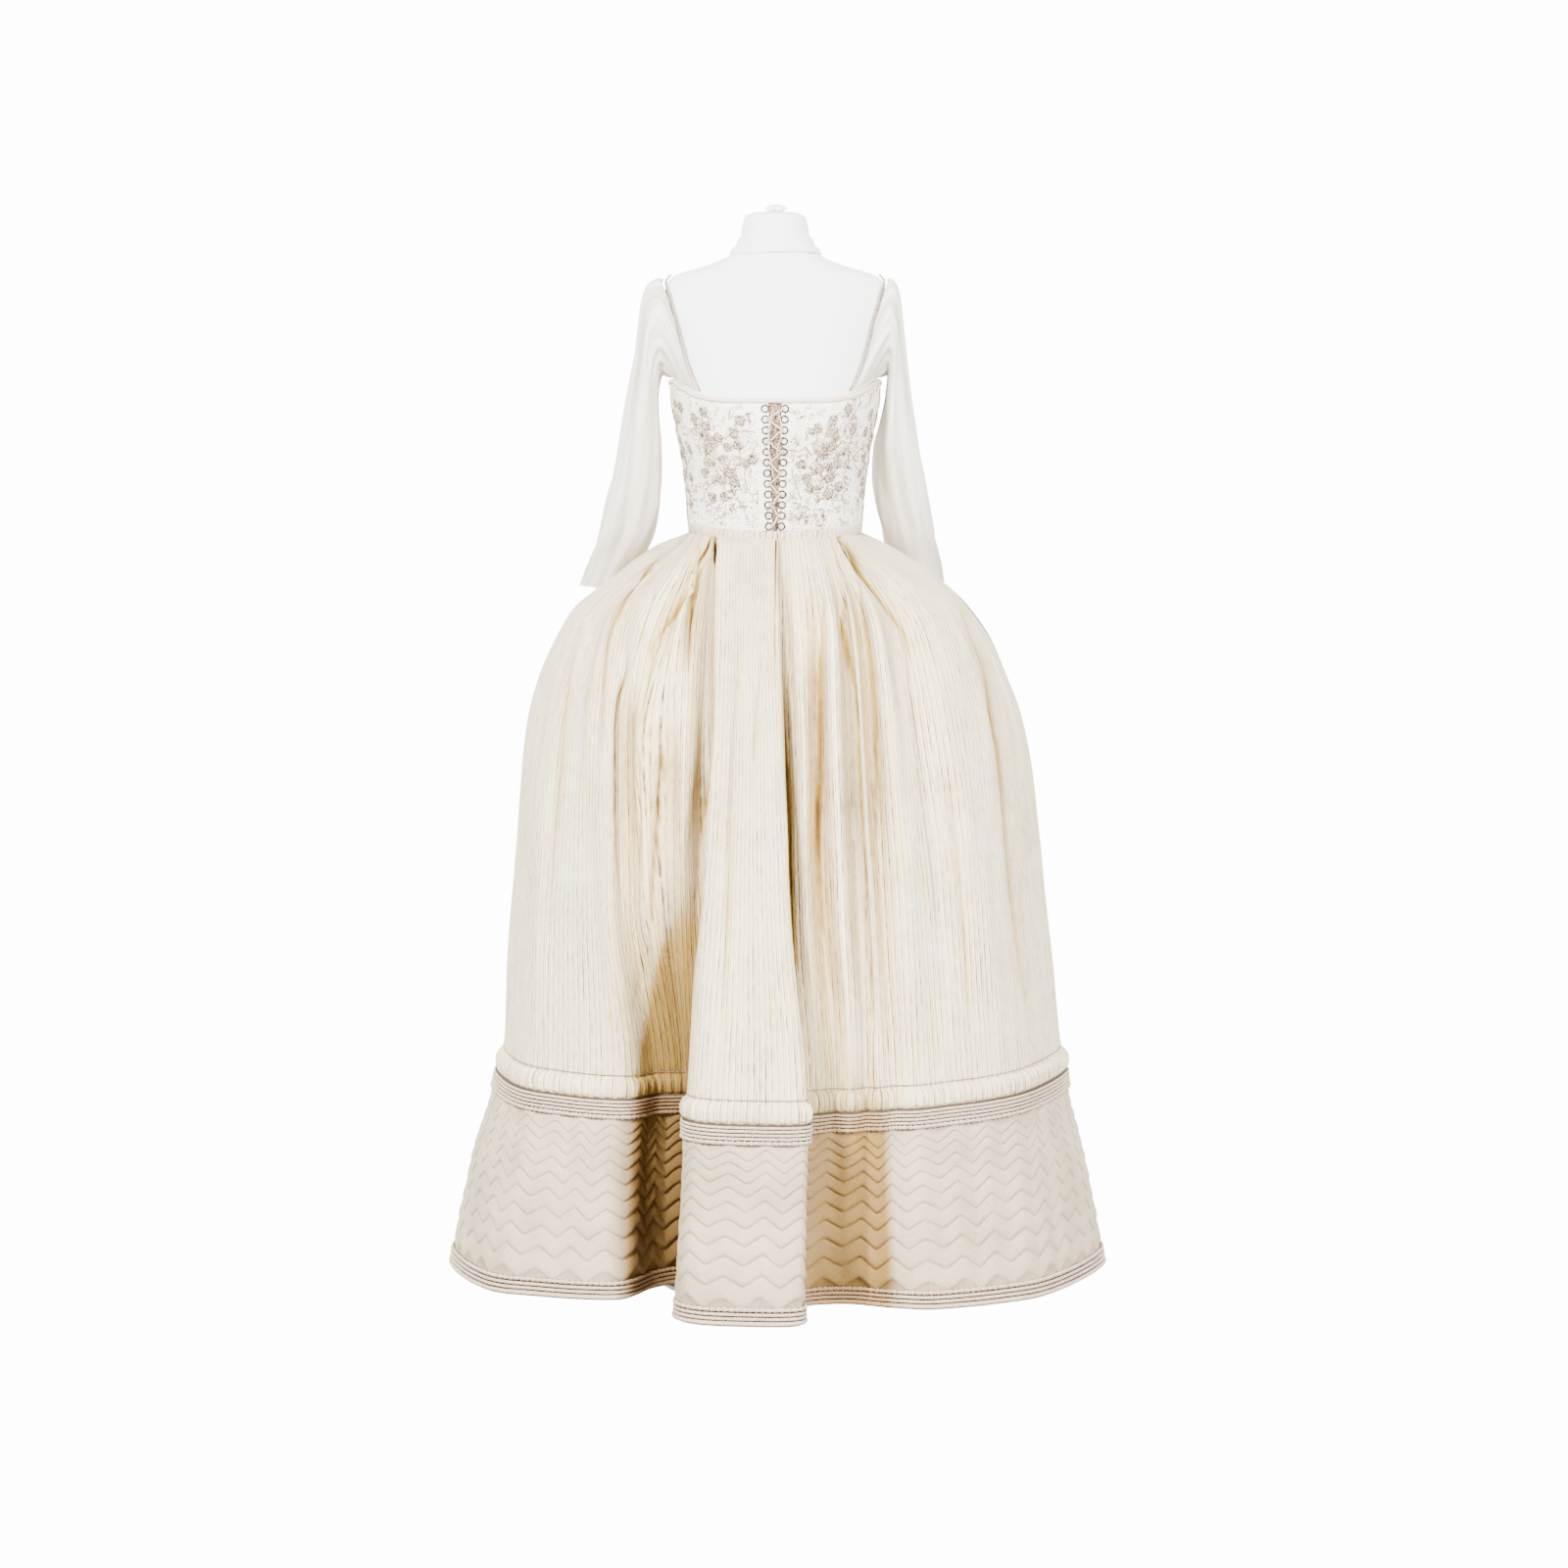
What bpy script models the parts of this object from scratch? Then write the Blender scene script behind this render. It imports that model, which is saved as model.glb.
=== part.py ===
"""A dress in the eighteenth-century style on a limbless dress form, at its real size, in metres.

A boned bodice is laced at the centre front through rings. Long sheer sleeves hang from narrow
neckline cords. The pleated skirt spreads sideways over the hips, as over side hoops, and ends in
a padded flounce quilted in chevrons, with corded braid at its seam and at its hem.

+Z is up, -Y is the front and +X is on the right as seen from the front. The origin is the centre
of the stand's underside. Cloth stays a few tenths of a millimetre apart at its seams.
"""

import math
from collections import namedtuple
from functools import lru_cache

import bmesh
import bpy
import numpy as np
from mathutils import Vector
from mathutils.bvhtree import BVHTree

# Gaps and cloth thicknesses
SEAM = 0.0003
BODICE_GAP = 0.0032
BODICE_CLOTH = 0.0020
SKIRT_CLOTH = 0.0015
SLEEVE_CLOTH = 0.0010
FLOUNCE_CLOTH = 0.0030
BRAID = 0.0030
BRAID_GAP = 0.0004

# The dress form and its stand
FORM_SQUARENESS = 2.2
FORM_COLUMNS = 32
FORM_BOTTOM = 0.885
BASE_RADIUS = 0.17
BASE_HEIGHT = 0.022
POLE_RADIUS = 0.0125

FormSection = namedtuple("FormSection", "z half_width front back mid_y")
FORM_SECTIONS = [
    FormSection(0.8850, 0.1300, 0.082, 0.088, 0.000),
    FormSection(0.9600, 0.1400, 0.094, 0.104, 0.000),
    FormSection(1.0350, 0.1170, 0.088, 0.078, 0.000),
    FormSection(1.0560, 0.1145, 0.085, 0.071, 0.000),
    FormSection(1.0750, 0.1180, 0.090, 0.076, 0.000),
    FormSection(1.1200, 0.1205, 0.094, 0.076, 0.000),
    FormSection(1.1700, 0.1270, 0.105, 0.080, 0.000),
    FormSection(1.2150, 0.1350, 0.115, 0.084, 0.000),
    FormSection(1.2550, 0.1420, 0.114, 0.087, 0.000),
    FormSection(1.3000, 0.1450, 0.102, 0.090, 0.000),
    FormSection(1.3500, 0.1500, 0.084, 0.090, 0.002),
    FormSection(1.3900, 0.1550, 0.066, 0.082, 0.004),
    FormSection(1.4120, 0.1540, 0.056, 0.070, 0.006),
    FormSection(1.4260, 0.1430, 0.050, 0.060, 0.008),
    FormSection(1.4400, 0.1000, 0.048, 0.054, 0.010),
    FormSection(1.4540, 0.0660, 0.048, 0.050, 0.010),
    FormSection(1.4640, 0.0572, 0.047, 0.0485, 0.010),
    FormSection(1.4750, 0.0500, 0.046, 0.047, 0.010),
    FormSection(1.5000, 0.0455, 0.043, 0.043, 0.010),
    FormSection(1.5105, 0.0410, 0.039, 0.039, 0.010),
    FormSection(1.5145, 0.0310, 0.030, 0.030, 0.010),
]
FORM_TOP = 1.5160
NECK_WRAP_ROWS = (1.4790, 1.4640, 1.4560)

# The bodice, by the angle round the body from the centre front
WAIST_FRONT = 1.0700
WAIST_HALF_WIDTH = 0.1180
WAIST_SIDE_RISE = 0.0090
WAISTBAND_HEIGHT = 0.0120
WAISTBAND_DROP = 0.0005
WAISTBAND_OUT = 0.0024
LACING_GAP_AT_WAIST = 0.0030
LACING_GAP_AT_TOP = 0.0090
FRONT_SEAM_ANGLE = 56.25
SIDE_SEAM_ANGLE = 101.25
BODICE_ROWS = 6
BINDING_RADIUS = 0.0016

TopEdge = namedtuple("TopEdge", "angle z")
BODICE_TOP = [
    TopEdge(0, 1.2525),
    TopEdge(25, 1.2530),
    TopEdge(45, 1.2590),
    TopEdge(60, 1.2700),
    TopEdge(75, 1.2800),
    TopEdge(90, 1.2780),
    TopEdge(120, 1.2800),
    TopEdge(150, 1.2900),
    TopEdge(180, 1.2940),
]

# The lacing rings and the lace
RING_ROWS = 12
RING_RADIUS = 0.0048
RING_WIRE = 0.0008
RING_FROM_EDGE = 0.0046
RING_TOP_MARGIN = 0.0120
RING_BOTTOM_MARGIN = 0.0085
LACE_RADIUS = 0.0008
LACE_CLEARANCE = 0.0008
TAIL_OFF_FORM = 0.0103
TAIL_STEP = 3

# The neckline cord and the seam where a sleeve meets the form, by angle and height
NeckPoint = namedtuple("NeckPoint", "angle z")
FRONT_NECKLINE = [
    NeckPoint(90.0, 1.4250),
    NeckPoint(70.0, 1.4030),
    NeckPoint(62.5, 1.3750),
    NeckPoint(58.0, 1.3400),
    NeckPoint(53.0, 1.3050),
    NeckPoint(44.0, 1.2650),
]
BACK_NECKLINE = [
    NeckPoint(90.0, 1.4250),
    NeckPoint(108.0, 1.4050),
    NeckPoint(117.0, 1.3750),
    NeckPoint(124.0, 1.3400),
    NeckPoint(132.0, 1.3100),
    NeckPoint(139.0, 1.2935),
]
NECK_CORD_RADIUS = 0.0012
SLEEVE_FROM_CORD = 2.3
SLEEVE_BELOW_CORD = 0.0065
SLEEVE_OVER_BODICE = 0.0068
SLEEVE_OFF_FORM = 0.0046

# Each sleeve is a tube through oval rings. A ring's outer and inner points are in the XZ plane,
# with x measured outwards from the middle, and depth is its half-size along Y.
SLEEVE_COLUMNS = 16
SleeveRing = namedtuple("SleeveRing", "outer_x outer_z inner_x inner_z mid_y depth")
SLEEVE_LEFT = [
    SleeveRing(0.1650, 1.4220, 0.1585, 1.2880, 0.004, 0.0620),
    SleeveRing(0.1790, 1.4130, 0.1610, 1.2840, 0.004, 0.0600),
    SleeveRing(0.1870, 1.3920, 0.1625, 1.2780, 0.005, 0.0570),
    SleeveRing(0.1920, 1.3580, 0.1635, 1.2680, 0.006, 0.0530),
    SleeveRing(0.1970, 1.3200, 0.1640, 1.2540, 0.009, 0.0490),
    SleeveRing(0.2085, 1.2580, 0.1625, 1.2250, 0.015, 0.0440),
    SleeveRing(0.2185, 1.2000, 0.1605, 1.1850, 0.023, 0.0400),
    SleeveRing(0.2290, 1.1520, 0.1605, 1.1480, 0.032, 0.0380),
    SleeveRing(0.2395, 1.1160, 0.1630, 1.1160, 0.043, 0.0360),
    SleeveRing(0.2500, 1.0700, 0.1740, 1.0700, 0.072, 0.0340),
    SleeveRing(0.2660, 1.0280, 0.1940, 1.0260, 0.108, 0.0320),
    SleeveRing(0.2835, 0.9870, 0.2150, 0.9780, 0.145, 0.0310),
]
SLEEVE_RIGHT = [
    SleeveRing(0.1620, 1.4220, 0.1575, 1.2880, 0.004, 0.0620),
    SleeveRing(0.1700, 1.4130, 0.1590, 1.2840, 0.004, 0.0600),
    SleeveRing(0.1755, 1.3920, 0.1585, 1.2760, 0.006, 0.0570),
    SleeveRing(0.1800, 1.3580, 0.1565, 1.2640, 0.009, 0.0530),
    SleeveRing(0.1850, 1.3200, 0.1540, 1.2480, 0.014, 0.0490),
    SleeveRing(0.1930, 1.2580, 0.1480, 1.2200, 0.022, 0.0440),
    SleeveRing(0.2025, 1.2000, 0.1410, 1.1850, 0.032, 0.0400),
    SleeveRing(0.2110, 1.1510, 0.1400, 1.1480, 0.042, 0.0380),
    SleeveRing(0.2180, 1.1100, 0.1440, 1.1100, 0.056, 0.0360),
    SleeveRing(0.2280, 1.0650, 0.1530, 1.0650, 0.086, 0.0340),
    SleeveRing(0.2370, 1.0200, 0.1640, 1.0180, 0.125, 0.0320),
    SleeveRing(0.2430, 0.9780, 0.1720, 0.9720, 0.160, 0.0310),
]

# The skirt's plan at each height: half-widths to the left and right, depths to front and back
SKIRT_SQUARENESS = 2.3
SKIRT_TOP = WAIST_FRONT - WAISTBAND_HEIGHT - 2 * SEAM
FRILL_STITCH = 0.3200
FRILL_BOTTOM = 0.2925
HEM = 0.0180
SkirtSection = namedtuple("SkirtSection", "z left right front back side_rise")
SKIRT_SECTIONS = [
    SkirtSection(0.0180, 0.4630, 0.4690, 0.310, 0.335, 0.000),
    SkirtSection(0.0610, 0.4560, 0.4620, 0.307, 0.332, 0.002),
    SkirtSection(0.1280, 0.4410, 0.4490, 0.303, 0.326, 0.006),
    SkirtSection(0.1880, 0.4265, 0.4350, 0.299, 0.320, 0.010),
    SkirtSection(0.2640, 0.4000, 0.4150, 0.294, 0.312, 0.013),
    SkirtSection(0.3200, 0.3880, 0.4080, 0.290, 0.305, 0.013),
    SkirtSection(0.4520, 0.3810, 0.3940, 0.272, 0.288, 0.013),
    SkirtSection(0.5440, 0.3740, 0.3835, 0.259, 0.276, 0.013),
    SkirtSection(0.6350, 0.3660, 0.3750, 0.243, 0.262, 0.013),
    SkirtSection(0.7145, 0.3600, 0.3650, 0.228, 0.249, 0.013),
    SkirtSection(0.7940, 0.3490, 0.3490, 0.209, 0.231, 0.013),
    SkirtSection(0.8520, 0.3330, 0.3270, 0.193, 0.213, 0.013),
    SkirtSection(0.9065, 0.3090, 0.3030, 0.172, 0.191, 0.013),
    SkirtSection(0.9490, 0.2840, 0.2740, 0.153, 0.168, 0.012),
    SkirtSection(0.9750, 0.2530, 0.2490, 0.141, 0.152, 0.012),
    SkirtSection(0.9950, 0.2260, 0.2230, 0.131, 0.137, 0.012),
    SkirtSection(1.0400, 0.1650, 0.1580, 0.112, 0.104, 0.010),
    SkirtSection(1.0574, 0.1235, 0.1235, 0.0955, 0.0815, 0.009),
]

# Fold lines run down the skirt. Across is a line's place from the middle and out is how far it
# stands out of the plan, both in millimetres, at each of these heights.
FoldLevels = namedtuple("FoldLevels", "hem seam knee thigh hip waist")
LEVEL_Z = FoldLevels(0.0180, 0.3200, 0.5650, 0.7850, 0.9350, 1.0574)
FrontFold = namedtuple("FrontFold", "name across out")
FRONT_FOLDS = [
    FrontFold("left_flank", FoldLevels(-400, -348, -336, -314, -266, -123),
              FoldLevels(-8, -4, 0, 0, 0, 0)),
    FrontFold("left_soft_dip", FoldLevels(-345, -306, -297, -283, -246, -121),
              FoldLevels(-26, -20, -10, -7, -7, -1.2)),
    FrontFold("left_lobe", FoldLevels(-279, -263, -256, -254, -232, -119),
              FoldLevels(-40, -34, -8, 0, 2, 1)),
    FrontFold("left_lobe_edge", FoldLevels(-228, -222, -229, -226, -215, -114),
              FoldLevels(-58, -56, -6, 2, -11, -1.8)),
    FrontFold("valley_left_side", FoldLevels(-206, -202, -210, -210, -182, -109),
              FoldLevels(-132, -104, -34, -26, 4, 1)),
    FrontFold("valley_ridge_one", FoldLevels(-178, -173, -183, -190, -149, -105),
              FoldLevels(-166, -118, -26, -4, -12, -2.4)),
    FrontFold("valley_floor", FoldLevels(-160, -154, -151, -149, -132, -100),
              FoldLevels(-172, -124, -46, -24, 3, 1)),
    FrontFold("valley_ridge_two", FoldLevels(-140, -137, -131, -124, -116, -95),
              FoldLevels(-158, -112, -42, -8, -11, -2.4)),
    FrontFold("under_panel_left", FoldLevels(-120, -106, -101, -100, -97, -89),
              FoldLevels(-100, -76, -54, -28, -15, -3)),
    FrontFold("panel_left_edge", FoldLevels(-127, -109, -101, -90, -86, -84),
              FoldLevels(40, 54, 28, 15, 10, 2)),
    FrontFold("panel_left", FoldLevels(-103, -86, -75, -66, -63, -62),
              FoldLevels(68, 82, 48, 24, 12, 2)),
    FrontFold("panel_middle", FoldLevels(-46, -34, -34, -34, -36, -36),
              FoldLevels(80, 92, 54, 27, 13, 2)),
    FrontFold("panel_right_edge", FoldLevels(32, 38, 20, 11, 4, 3),
              FoldLevels(74, 88, 50, 24, 11, 2)),
    FrontFold("centre_front_seam", FoldLevels(26, 30, 13, 8, 7, 7),
              FoldLevels(-20, 26, -20, -28, -14, -2.4)),
    FrontFold("right_fold_one", FoldLevels(52, 58, 43, 38, 32, 24),
              FoldLevels(-46, 10, 6, 5, 4, 2)),
    FrontFold("right_gap_one", FoldLevels(78, 80, 64, 57, 58, 42),
              FoldLevels(-52, 0, -20, -22, -10, -1.8)),
    FrontFold("right_fold_two", FoldLevels(102, 102, 90, 82, 78, 54),
              FoldLevels(-52, 10, 8, 5, 4, 2)),
    FrontFold("right_gap_two", FoldLevels(125, 123, 116, 106, 97, 68),
              FoldLevels(-44, 0, -18, -22, -11, -1.8)),
    FrontFold("right_fold_three", FoldLevels(146, 141, 131, 119, 108, 75),
              FoldLevels(-30, 6, 4, 3, 3, 1)),
    FrontFold("right_gap_three", FoldLevels(172, 160, 148, 134, 121, 81),
              FoldLevels(-16, 0, -14, -20, -11, -1.8)),
    FrontFold("right_fold_four", FoldLevels(207, 186, 176, 158, 142, 87),
              FoldLevels(0, 8, 6, 5, 6, 2)),
    FrontFold("right_crease", FoldLevels(252, 231, 218, 190, 166, 94),
              FoldLevels(2, 2, -7, -10, -14, -1.8)),
    FrontFold("right_panel", FoldLevels(310, 286, 272, 248, 211, 104),
              FoldLevels(0, 2, 2, 3, 3, 1)),
    FrontFold("right_flank_dip", FoldLevels(372, 344, 324, 305, 262, 112),
              FoldLevels(-4, -5, -10, -11, -6, -1.2)),
]
CENTRE_FRONT_LINE = 1 + [fold.name for fold in FRONT_FOLDS].index("centre_front_seam")

# The back's pleats are even: their size, and that of the three soft waves which carry them
BACK_LINES = 13
BACK_WAVES = 3
BACK_PLEAT = FoldLevels(0, 4, 9, 10, 7, 1.5)
BACK_WAVE = FoldLevels(26, 20, 12, 5, 0, 0)

# Heights of the skirt's rows, from the waist down to the frill's free edge
FRILL_CREST = 0.3065
SKIRT_ROWS = (SKIRT_TOP, 1.040, 1.005, 0.960, 0.905, 0.825, 0.700, 0.520,
              FRILL_STITCH, FRILL_CREST, FRILL_BOTTOM)
FRILL_PUFF = {FRILL_STITCH: -0.0012, FRILL_CREST: 0.0085, FRILL_BOTTOM: 0.0040}

# The flounce: chevron quilting, closer together near the top
FLOUNCE_TOP = FRILL_BOTTOM - SEAM
FLOUNCE_TOP_OUT = 0.0032
FLOUNCE_COLUMN = 0.0285
QUILT_TOP = 0.2540
QUILT_BOTTOM = 0.0560
QUILT_LINES = 7
QUILT_ZIGZAG = 0.0075
QUILT_PUFF = 0.0026
FLOUNCE_INSIDE = (FLOUNCE_TOP, 0.264, 0.239, 0.175, 0.105, 0.050, HEM)
SEAM_BRAID_BOTTOM = 0.2640
HEM_BRAID_TOP = 0.0450

# Colours: name, red, green, blue, roughness and metallic
IVORY_STRIPE = ("ivory_striped_cotton", 0.86, 0.82, 0.72, 0.80, 0.0)
QUILTED_LINEN = ("quilted_linen", 0.76, 0.70, 0.60, 0.85, 0.0)
BRAID_CORD = ("braid_cord", 0.78, 0.71, 0.64, 0.75, 0.0)
EMBROIDERED = ("embroidered_ivory", 0.84, 0.78, 0.70, 0.70, 0.0)
SHEER_VOILE = ("sheer_voile", 0.90, 0.88, 0.84, 0.75, 0.0)
PALE_BINDING = ("pale_binding", 0.86, 0.78, 0.72, 0.65, 0.0)
RING_METAL = ("ring_metal", 0.52, 0.48, 0.42, 0.35, 1.0)
FORM_COVER = ("form_cover", 0.88, 0.88, 0.87, 0.85, 0.0)
STAND_METAL = ("stand_metal", 0.62, 0.62, 0.62, 0.40, 1.0)


def clear_scene():
    for old in list(bpy.data.objects):
        bpy.data.objects.remove(old)


def make_material(finish):
    name, red, green, blue, roughness, metallic = finish
    found = bpy.data.materials.get(name)
    if found:
        return found
    made = bpy.data.materials.new(name)
    made.use_nodes = True
    shader = made.node_tree.nodes["Principled BSDF"]
    shader.inputs["Base Color"].default_value = (red, green, blue, 1.0)
    shader.inputs["Roughness"].default_value = roughness
    shader.inputs["Metallic"].default_value = metallic
    return made


def add_object(name, data, finish):
    made = bpy.data.objects.new(name, data)
    made.data.materials.append(make_material(finish))
    collection = bpy.data.collections.get("dress") or bpy.data.collections.new("dress")
    if collection.name not in bpy.context.scene.collection.children:
        bpy.context.scene.collection.children.link(collection)
    collection.objects.link(made)
    return made


def smooth(knots, values, at):
    """A monotone cubic curve through (knots, values), read at one place or an array of them."""
    knots = np.asarray(knots, float)
    values = np.asarray(values, float)
    step = np.diff(knots)
    slope = np.diff(values) / step
    tangent = np.zeros_like(values)
    tangent[0], tangent[-1] = slope[0], slope[-1]
    for i in range(1, len(knots) - 1):
        if slope[i - 1] * slope[i] > 0:
            before, after = 2 * step[i] + step[i - 1], step[i] + 2 * step[i - 1]
            tangent[i] = (before + after) / (before / slope[i - 1] + after / slope[i])
    at = np.clip(np.asarray(at, float), knots[0], knots[-1])
    i = np.clip(np.searchsorted(knots, at) - 1, 0, len(knots) - 2)
    t = (at - knots[i]) / step[i]
    return (
        values[i] * (2 * t**3 - 3 * t**2 + 1)
        + tangent[i] * step[i] * (t**3 - 2 * t**2 + t)
        + values[i + 1] * (3 * t**2 - 2 * t**3)
        + tangent[i + 1] * step[i] * (t**3 - t**2)
    )


def signed_power(value, power):
    return np.sign(value) * np.abs(value) ** power


def column(rows, name):
    return [getattr(row, name) for row in rows]


def form_point(angle, z, out=0.0):
    """A point of the form's surface, moved out. The angle is in degrees from the front to +X."""
    heights = column(FORM_SECTIONS, "z")
    half_width, front, back, mid_y = (
        float(smooth(heights, column(FORM_SECTIONS, name), z))
        for name in ("half_width", "front", "back", "mid_y")
    )
    sine, cosine = math.sin(math.radians(angle)), math.cos(math.radians(angle))
    depth = front if cosine > 0 else back
    power = 2 / FORM_SQUARENESS
    return Vector((
        (half_width + out) * signed_power(sine, power),
        mid_y - (depth + out) * signed_power(cosine, power),
        z,
    ))


def form_angle_at(x, z):
    """The angle on the front where the form's surface lies x from the middle."""
    half_width = float(smooth(column(FORM_SECTIONS, "z"), column(FORM_SECTIONS, "half_width"), z))
    return math.degrees(math.asin(signed_power(x / half_width, FORM_SQUARENESS / 2)))


def form_normal(angle, z):
    along = form_point(angle + 1, z) - form_point(angle - 1, z)
    up = form_point(angle, z + 0.004) - form_point(angle, z - 0.004)
    return along.cross(up).normalized()


def waist_z(x, half_width):
    """The waist seam is a little higher at the sides."""
    return WAIST_FRONT + WAIST_SIDE_RISE * min(1.0, (x / half_width) ** 2)


@lru_cache(maxsize=None)
def bodice_top(angle):
    """The height of the bodice's top edge, the same on both sides."""
    folded = abs((angle + 180) % 360 - 180)
    return float(smooth(column(BODICE_TOP, "angle"), column(BODICE_TOP, "z"), folded))


def grid_mesh(name, grid, closed=False):
    """An open surface from rows of points, top row first, each row counterclockwise from above."""
    mesh = bmesh.new()
    rows = [[mesh.verts.new(point) for point in row] for row in grid]
    for upper, lower in zip(rows, rows[1:]):
        count = len(upper)
        for i in range(count if closed else count - 1):
            j = (i + 1) % count
            mesh.faces.new((upper[i], lower[i], lower[j], upper[j]))
    data = bpy.data.meshes.new(name)
    mesh.to_mesh(data)
    mesh.free()
    data.shade_smooth()
    return data


def cloth(name, grid, finish, thickness, closed=False, outward=False):
    """A cloth wall: the grid is its outer face, or its inner one where outward is set."""
    made = add_object(name, grid_mesh(name, grid, closed), finish)
    wall = made.modifiers.new("cloth", "SOLIDIFY")
    wall.thickness = thickness
    wall.offset = 1.0 if outward else -1.0
    return made


def add_faces(mesh, corners, turned):
    """One quad as two triangles, so that neighbouring walls are split alike."""
    a, b, c, d = corners
    for face in ((a, b, c), (a, c, d)):
        mesh.faces.new(face[::-1] if turned else face)


def end_faces(mesh, outer, inner, turned):
    """The edge between an outer and an inner line of points, both from the top down."""
    i = j = 0
    while i < len(outer) - 1 or j < len(inner) - 1:
        if j == len(inner) - 1:
            along_outer = True
        elif i == len(outer) - 1:
            along_outer = False
        else:
            along_outer = 2 * outer[i + 1].co.z >= inner[j].co.z + inner[j + 1].co.z
        if along_outer:
            face = (outer[i], inner[j], outer[i + 1])
            i += 1
        else:
            face = (outer[i], inner[j], inner[j + 1])
            j += 1
        mesh.faces.new(face[::-1] if turned else face)


def solid_wall(name, outer, inner, finish, closed=False):
    """A closed wall between two grids that share their columns but not their rows."""
    mesh = bmesh.new()
    faces = [[[mesh.verts.new(point) for point in row] for row in grid] for grid in (outer, inner)]
    columns = len(outer[0])
    spans = [(i, (i + 1) % columns) for i in range(columns if closed else columns - 1)]
    for grid, turned in zip(faces, (False, True)):
        for upper, lower in zip(grid, grid[1:]):
            for i, j in spans:
                add_faces(mesh, (upper[i], lower[i], lower[j], upper[j]), turned)
    for edge in (0, -1):
        outside, inside = faces[0][edge], faces[1][edge]
        for i, j in spans:
            add_faces(mesh, (outside[i], outside[j], inside[j], inside[i]), edge == -1)
    if not closed:
        for i in (0, -1):
            end_faces(mesh, [row[i] for row in faces[0]], [row[i] for row in faces[1]], i == -1)
    bmesh.ops.recalc_face_normals(mesh, faces=mesh.faces)
    data = bpy.data.meshes.new(name)
    mesh.to_mesh(data)
    mesh.free()
    data.shade_smooth()
    return add_object(name, data, finish)


def tube(name, points, radius, finish, cyclic=False, resolution=2):
    """A round cord or rod along a line of points."""
    curve = bpy.data.curves.new(name, "CURVE")
    curve.dimensions = "3D"
    curve.bevel_depth = radius
    curve.bevel_resolution = resolution
    curve.use_fill_caps = True
    line = curve.splines.new("POLY")
    line.points.add(len(points) - 1)
    for target, point in zip(line.points, points):
        target.co = (*point, 1.0)
    line.use_cyclic_u = cyclic
    return add_object(name, curve, finish)


def turned(name, profile, finish, steps=32):
    """A piece turned about the Z axis from a profile of (radius, height), top to bottom."""
    mesh = bmesh.new()
    verts = [mesh.verts.new((radius, 0.0, z)) for radius, z in profile]
    for a, b in zip(verts, verts[1:]):
        mesh.edges.new((a, b))
    data = bpy.data.meshes.new(name)
    mesh.to_mesh(data)
    mesh.free()
    made = add_object(name, data, finish)
    screw = made.modifiers.new("turn", "SCREW")
    screw.steps = steps
    screw.render_steps = steps
    screw.use_merge_vertices = True
    screw.merge_threshold = 0.0001
    return made


def make_stand():
    """A round weighted base and a pole up to the form's underside."""
    edge = 0.004
    turned("stand_base", [
        (0.0, BASE_HEIGHT),
        (POLE_RADIUS * 2, BASE_HEIGHT),
        (BASE_RADIUS * 0.6, BASE_HEIGHT * 0.62),
        (BASE_RADIUS - edge, BASE_HEIGHT * 0.42),
        (BASE_RADIUS, BASE_HEIGHT * 0.25),
        (BASE_RADIUS, 0.0),
        (0.0, 0.0),
    ], STAND_METAL, 24)
    low, high = BASE_HEIGHT + SEAM, FORM_BOTTOM - SEAM
    turned("stand_pole", [(0.0, high), (POLE_RADIUS, high), (POLE_RADIUS, low), (0.0, low)],
           STAND_METAL, 16)


def ring_angles():
    return [360.0 * i / FORM_COLUMNS for i in range(FORM_COLUMNS)]


def make_form():
    """The smooth limbless torso with its neck, closed at the top and at the hips."""
    rings = [[form_point(a, s.z) for a in ring_angles()] for s in reversed(FORM_SECTIONS)]
    mesh = bmesh.new()
    rows = [[mesh.verts.new(point) for point in ring] for ring in rings]
    for upper, lower in zip(rows, rows[1:]):
        for i in range(FORM_COLUMNS):
            j = (i + 1) % FORM_COLUMNS
            mesh.faces.new((upper[i], lower[i], lower[j], upper[j]))
    crown = mesh.verts.new((0.0, FORM_SECTIONS[-1].mid_y, FORM_TOP))
    for i in range(FORM_COLUMNS):
        mesh.faces.new((crown, rows[0][i], rows[0][(i + 1) % FORM_COLUMNS]))
    mesh.faces.new(rows[-1][::-1])
    bmesh.ops.recalc_face_normals(mesh, faces=mesh.faces)
    data = bpy.data.meshes.new("form_torso")
    mesh.to_mesh(data)
    mesh.free()
    data.shade_smooth()
    add_object("form_torso", data, FORM_COVER)


def make_neck_wrap():
    """The soft band of cover cloth wound round the form's neck."""
    grids = []
    for outs in ((0.0042, 0.0064, 0.0052), (0.0014, 0.0014, 0.0014)):
        grids.append([[form_point(angle, z, out) for angle in ring_angles()]
                      for z, out in zip(NECK_WRAP_ROWS, outs)])
    solid_wall("form_neck_wrap", grids[0], grids[1], FORM_COVER, closed=True)


def make_top_knot():
    """The gathered end of the cover on top of the neck."""
    mesh = bmesh.new()
    bmesh.ops.create_uvsphere(mesh, u_segments=10, v_segments=5, radius=1.0)
    centre = Vector((0.001, FORM_SECTIONS[-1].mid_y, FORM_TOP + 0.0048))
    for vert in mesh.verts:
        turn = math.atan2(vert.co.y, vert.co.x)
        pinch = 1 + 0.22 * math.cos(5 * turn + 0.6)
        size = Vector((0.0135 * pinch, 0.0100 * pinch, 0.0045))
        vert.co = Vector(a * b for a, b in zip(vert.co, size)) + centre
    data = bpy.data.meshes.new("form_top_knot")
    mesh.to_mesh(data)
    mesh.free()
    data.shade_smooth()
    add_object("form_top_knot", data, FORM_COVER)


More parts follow.
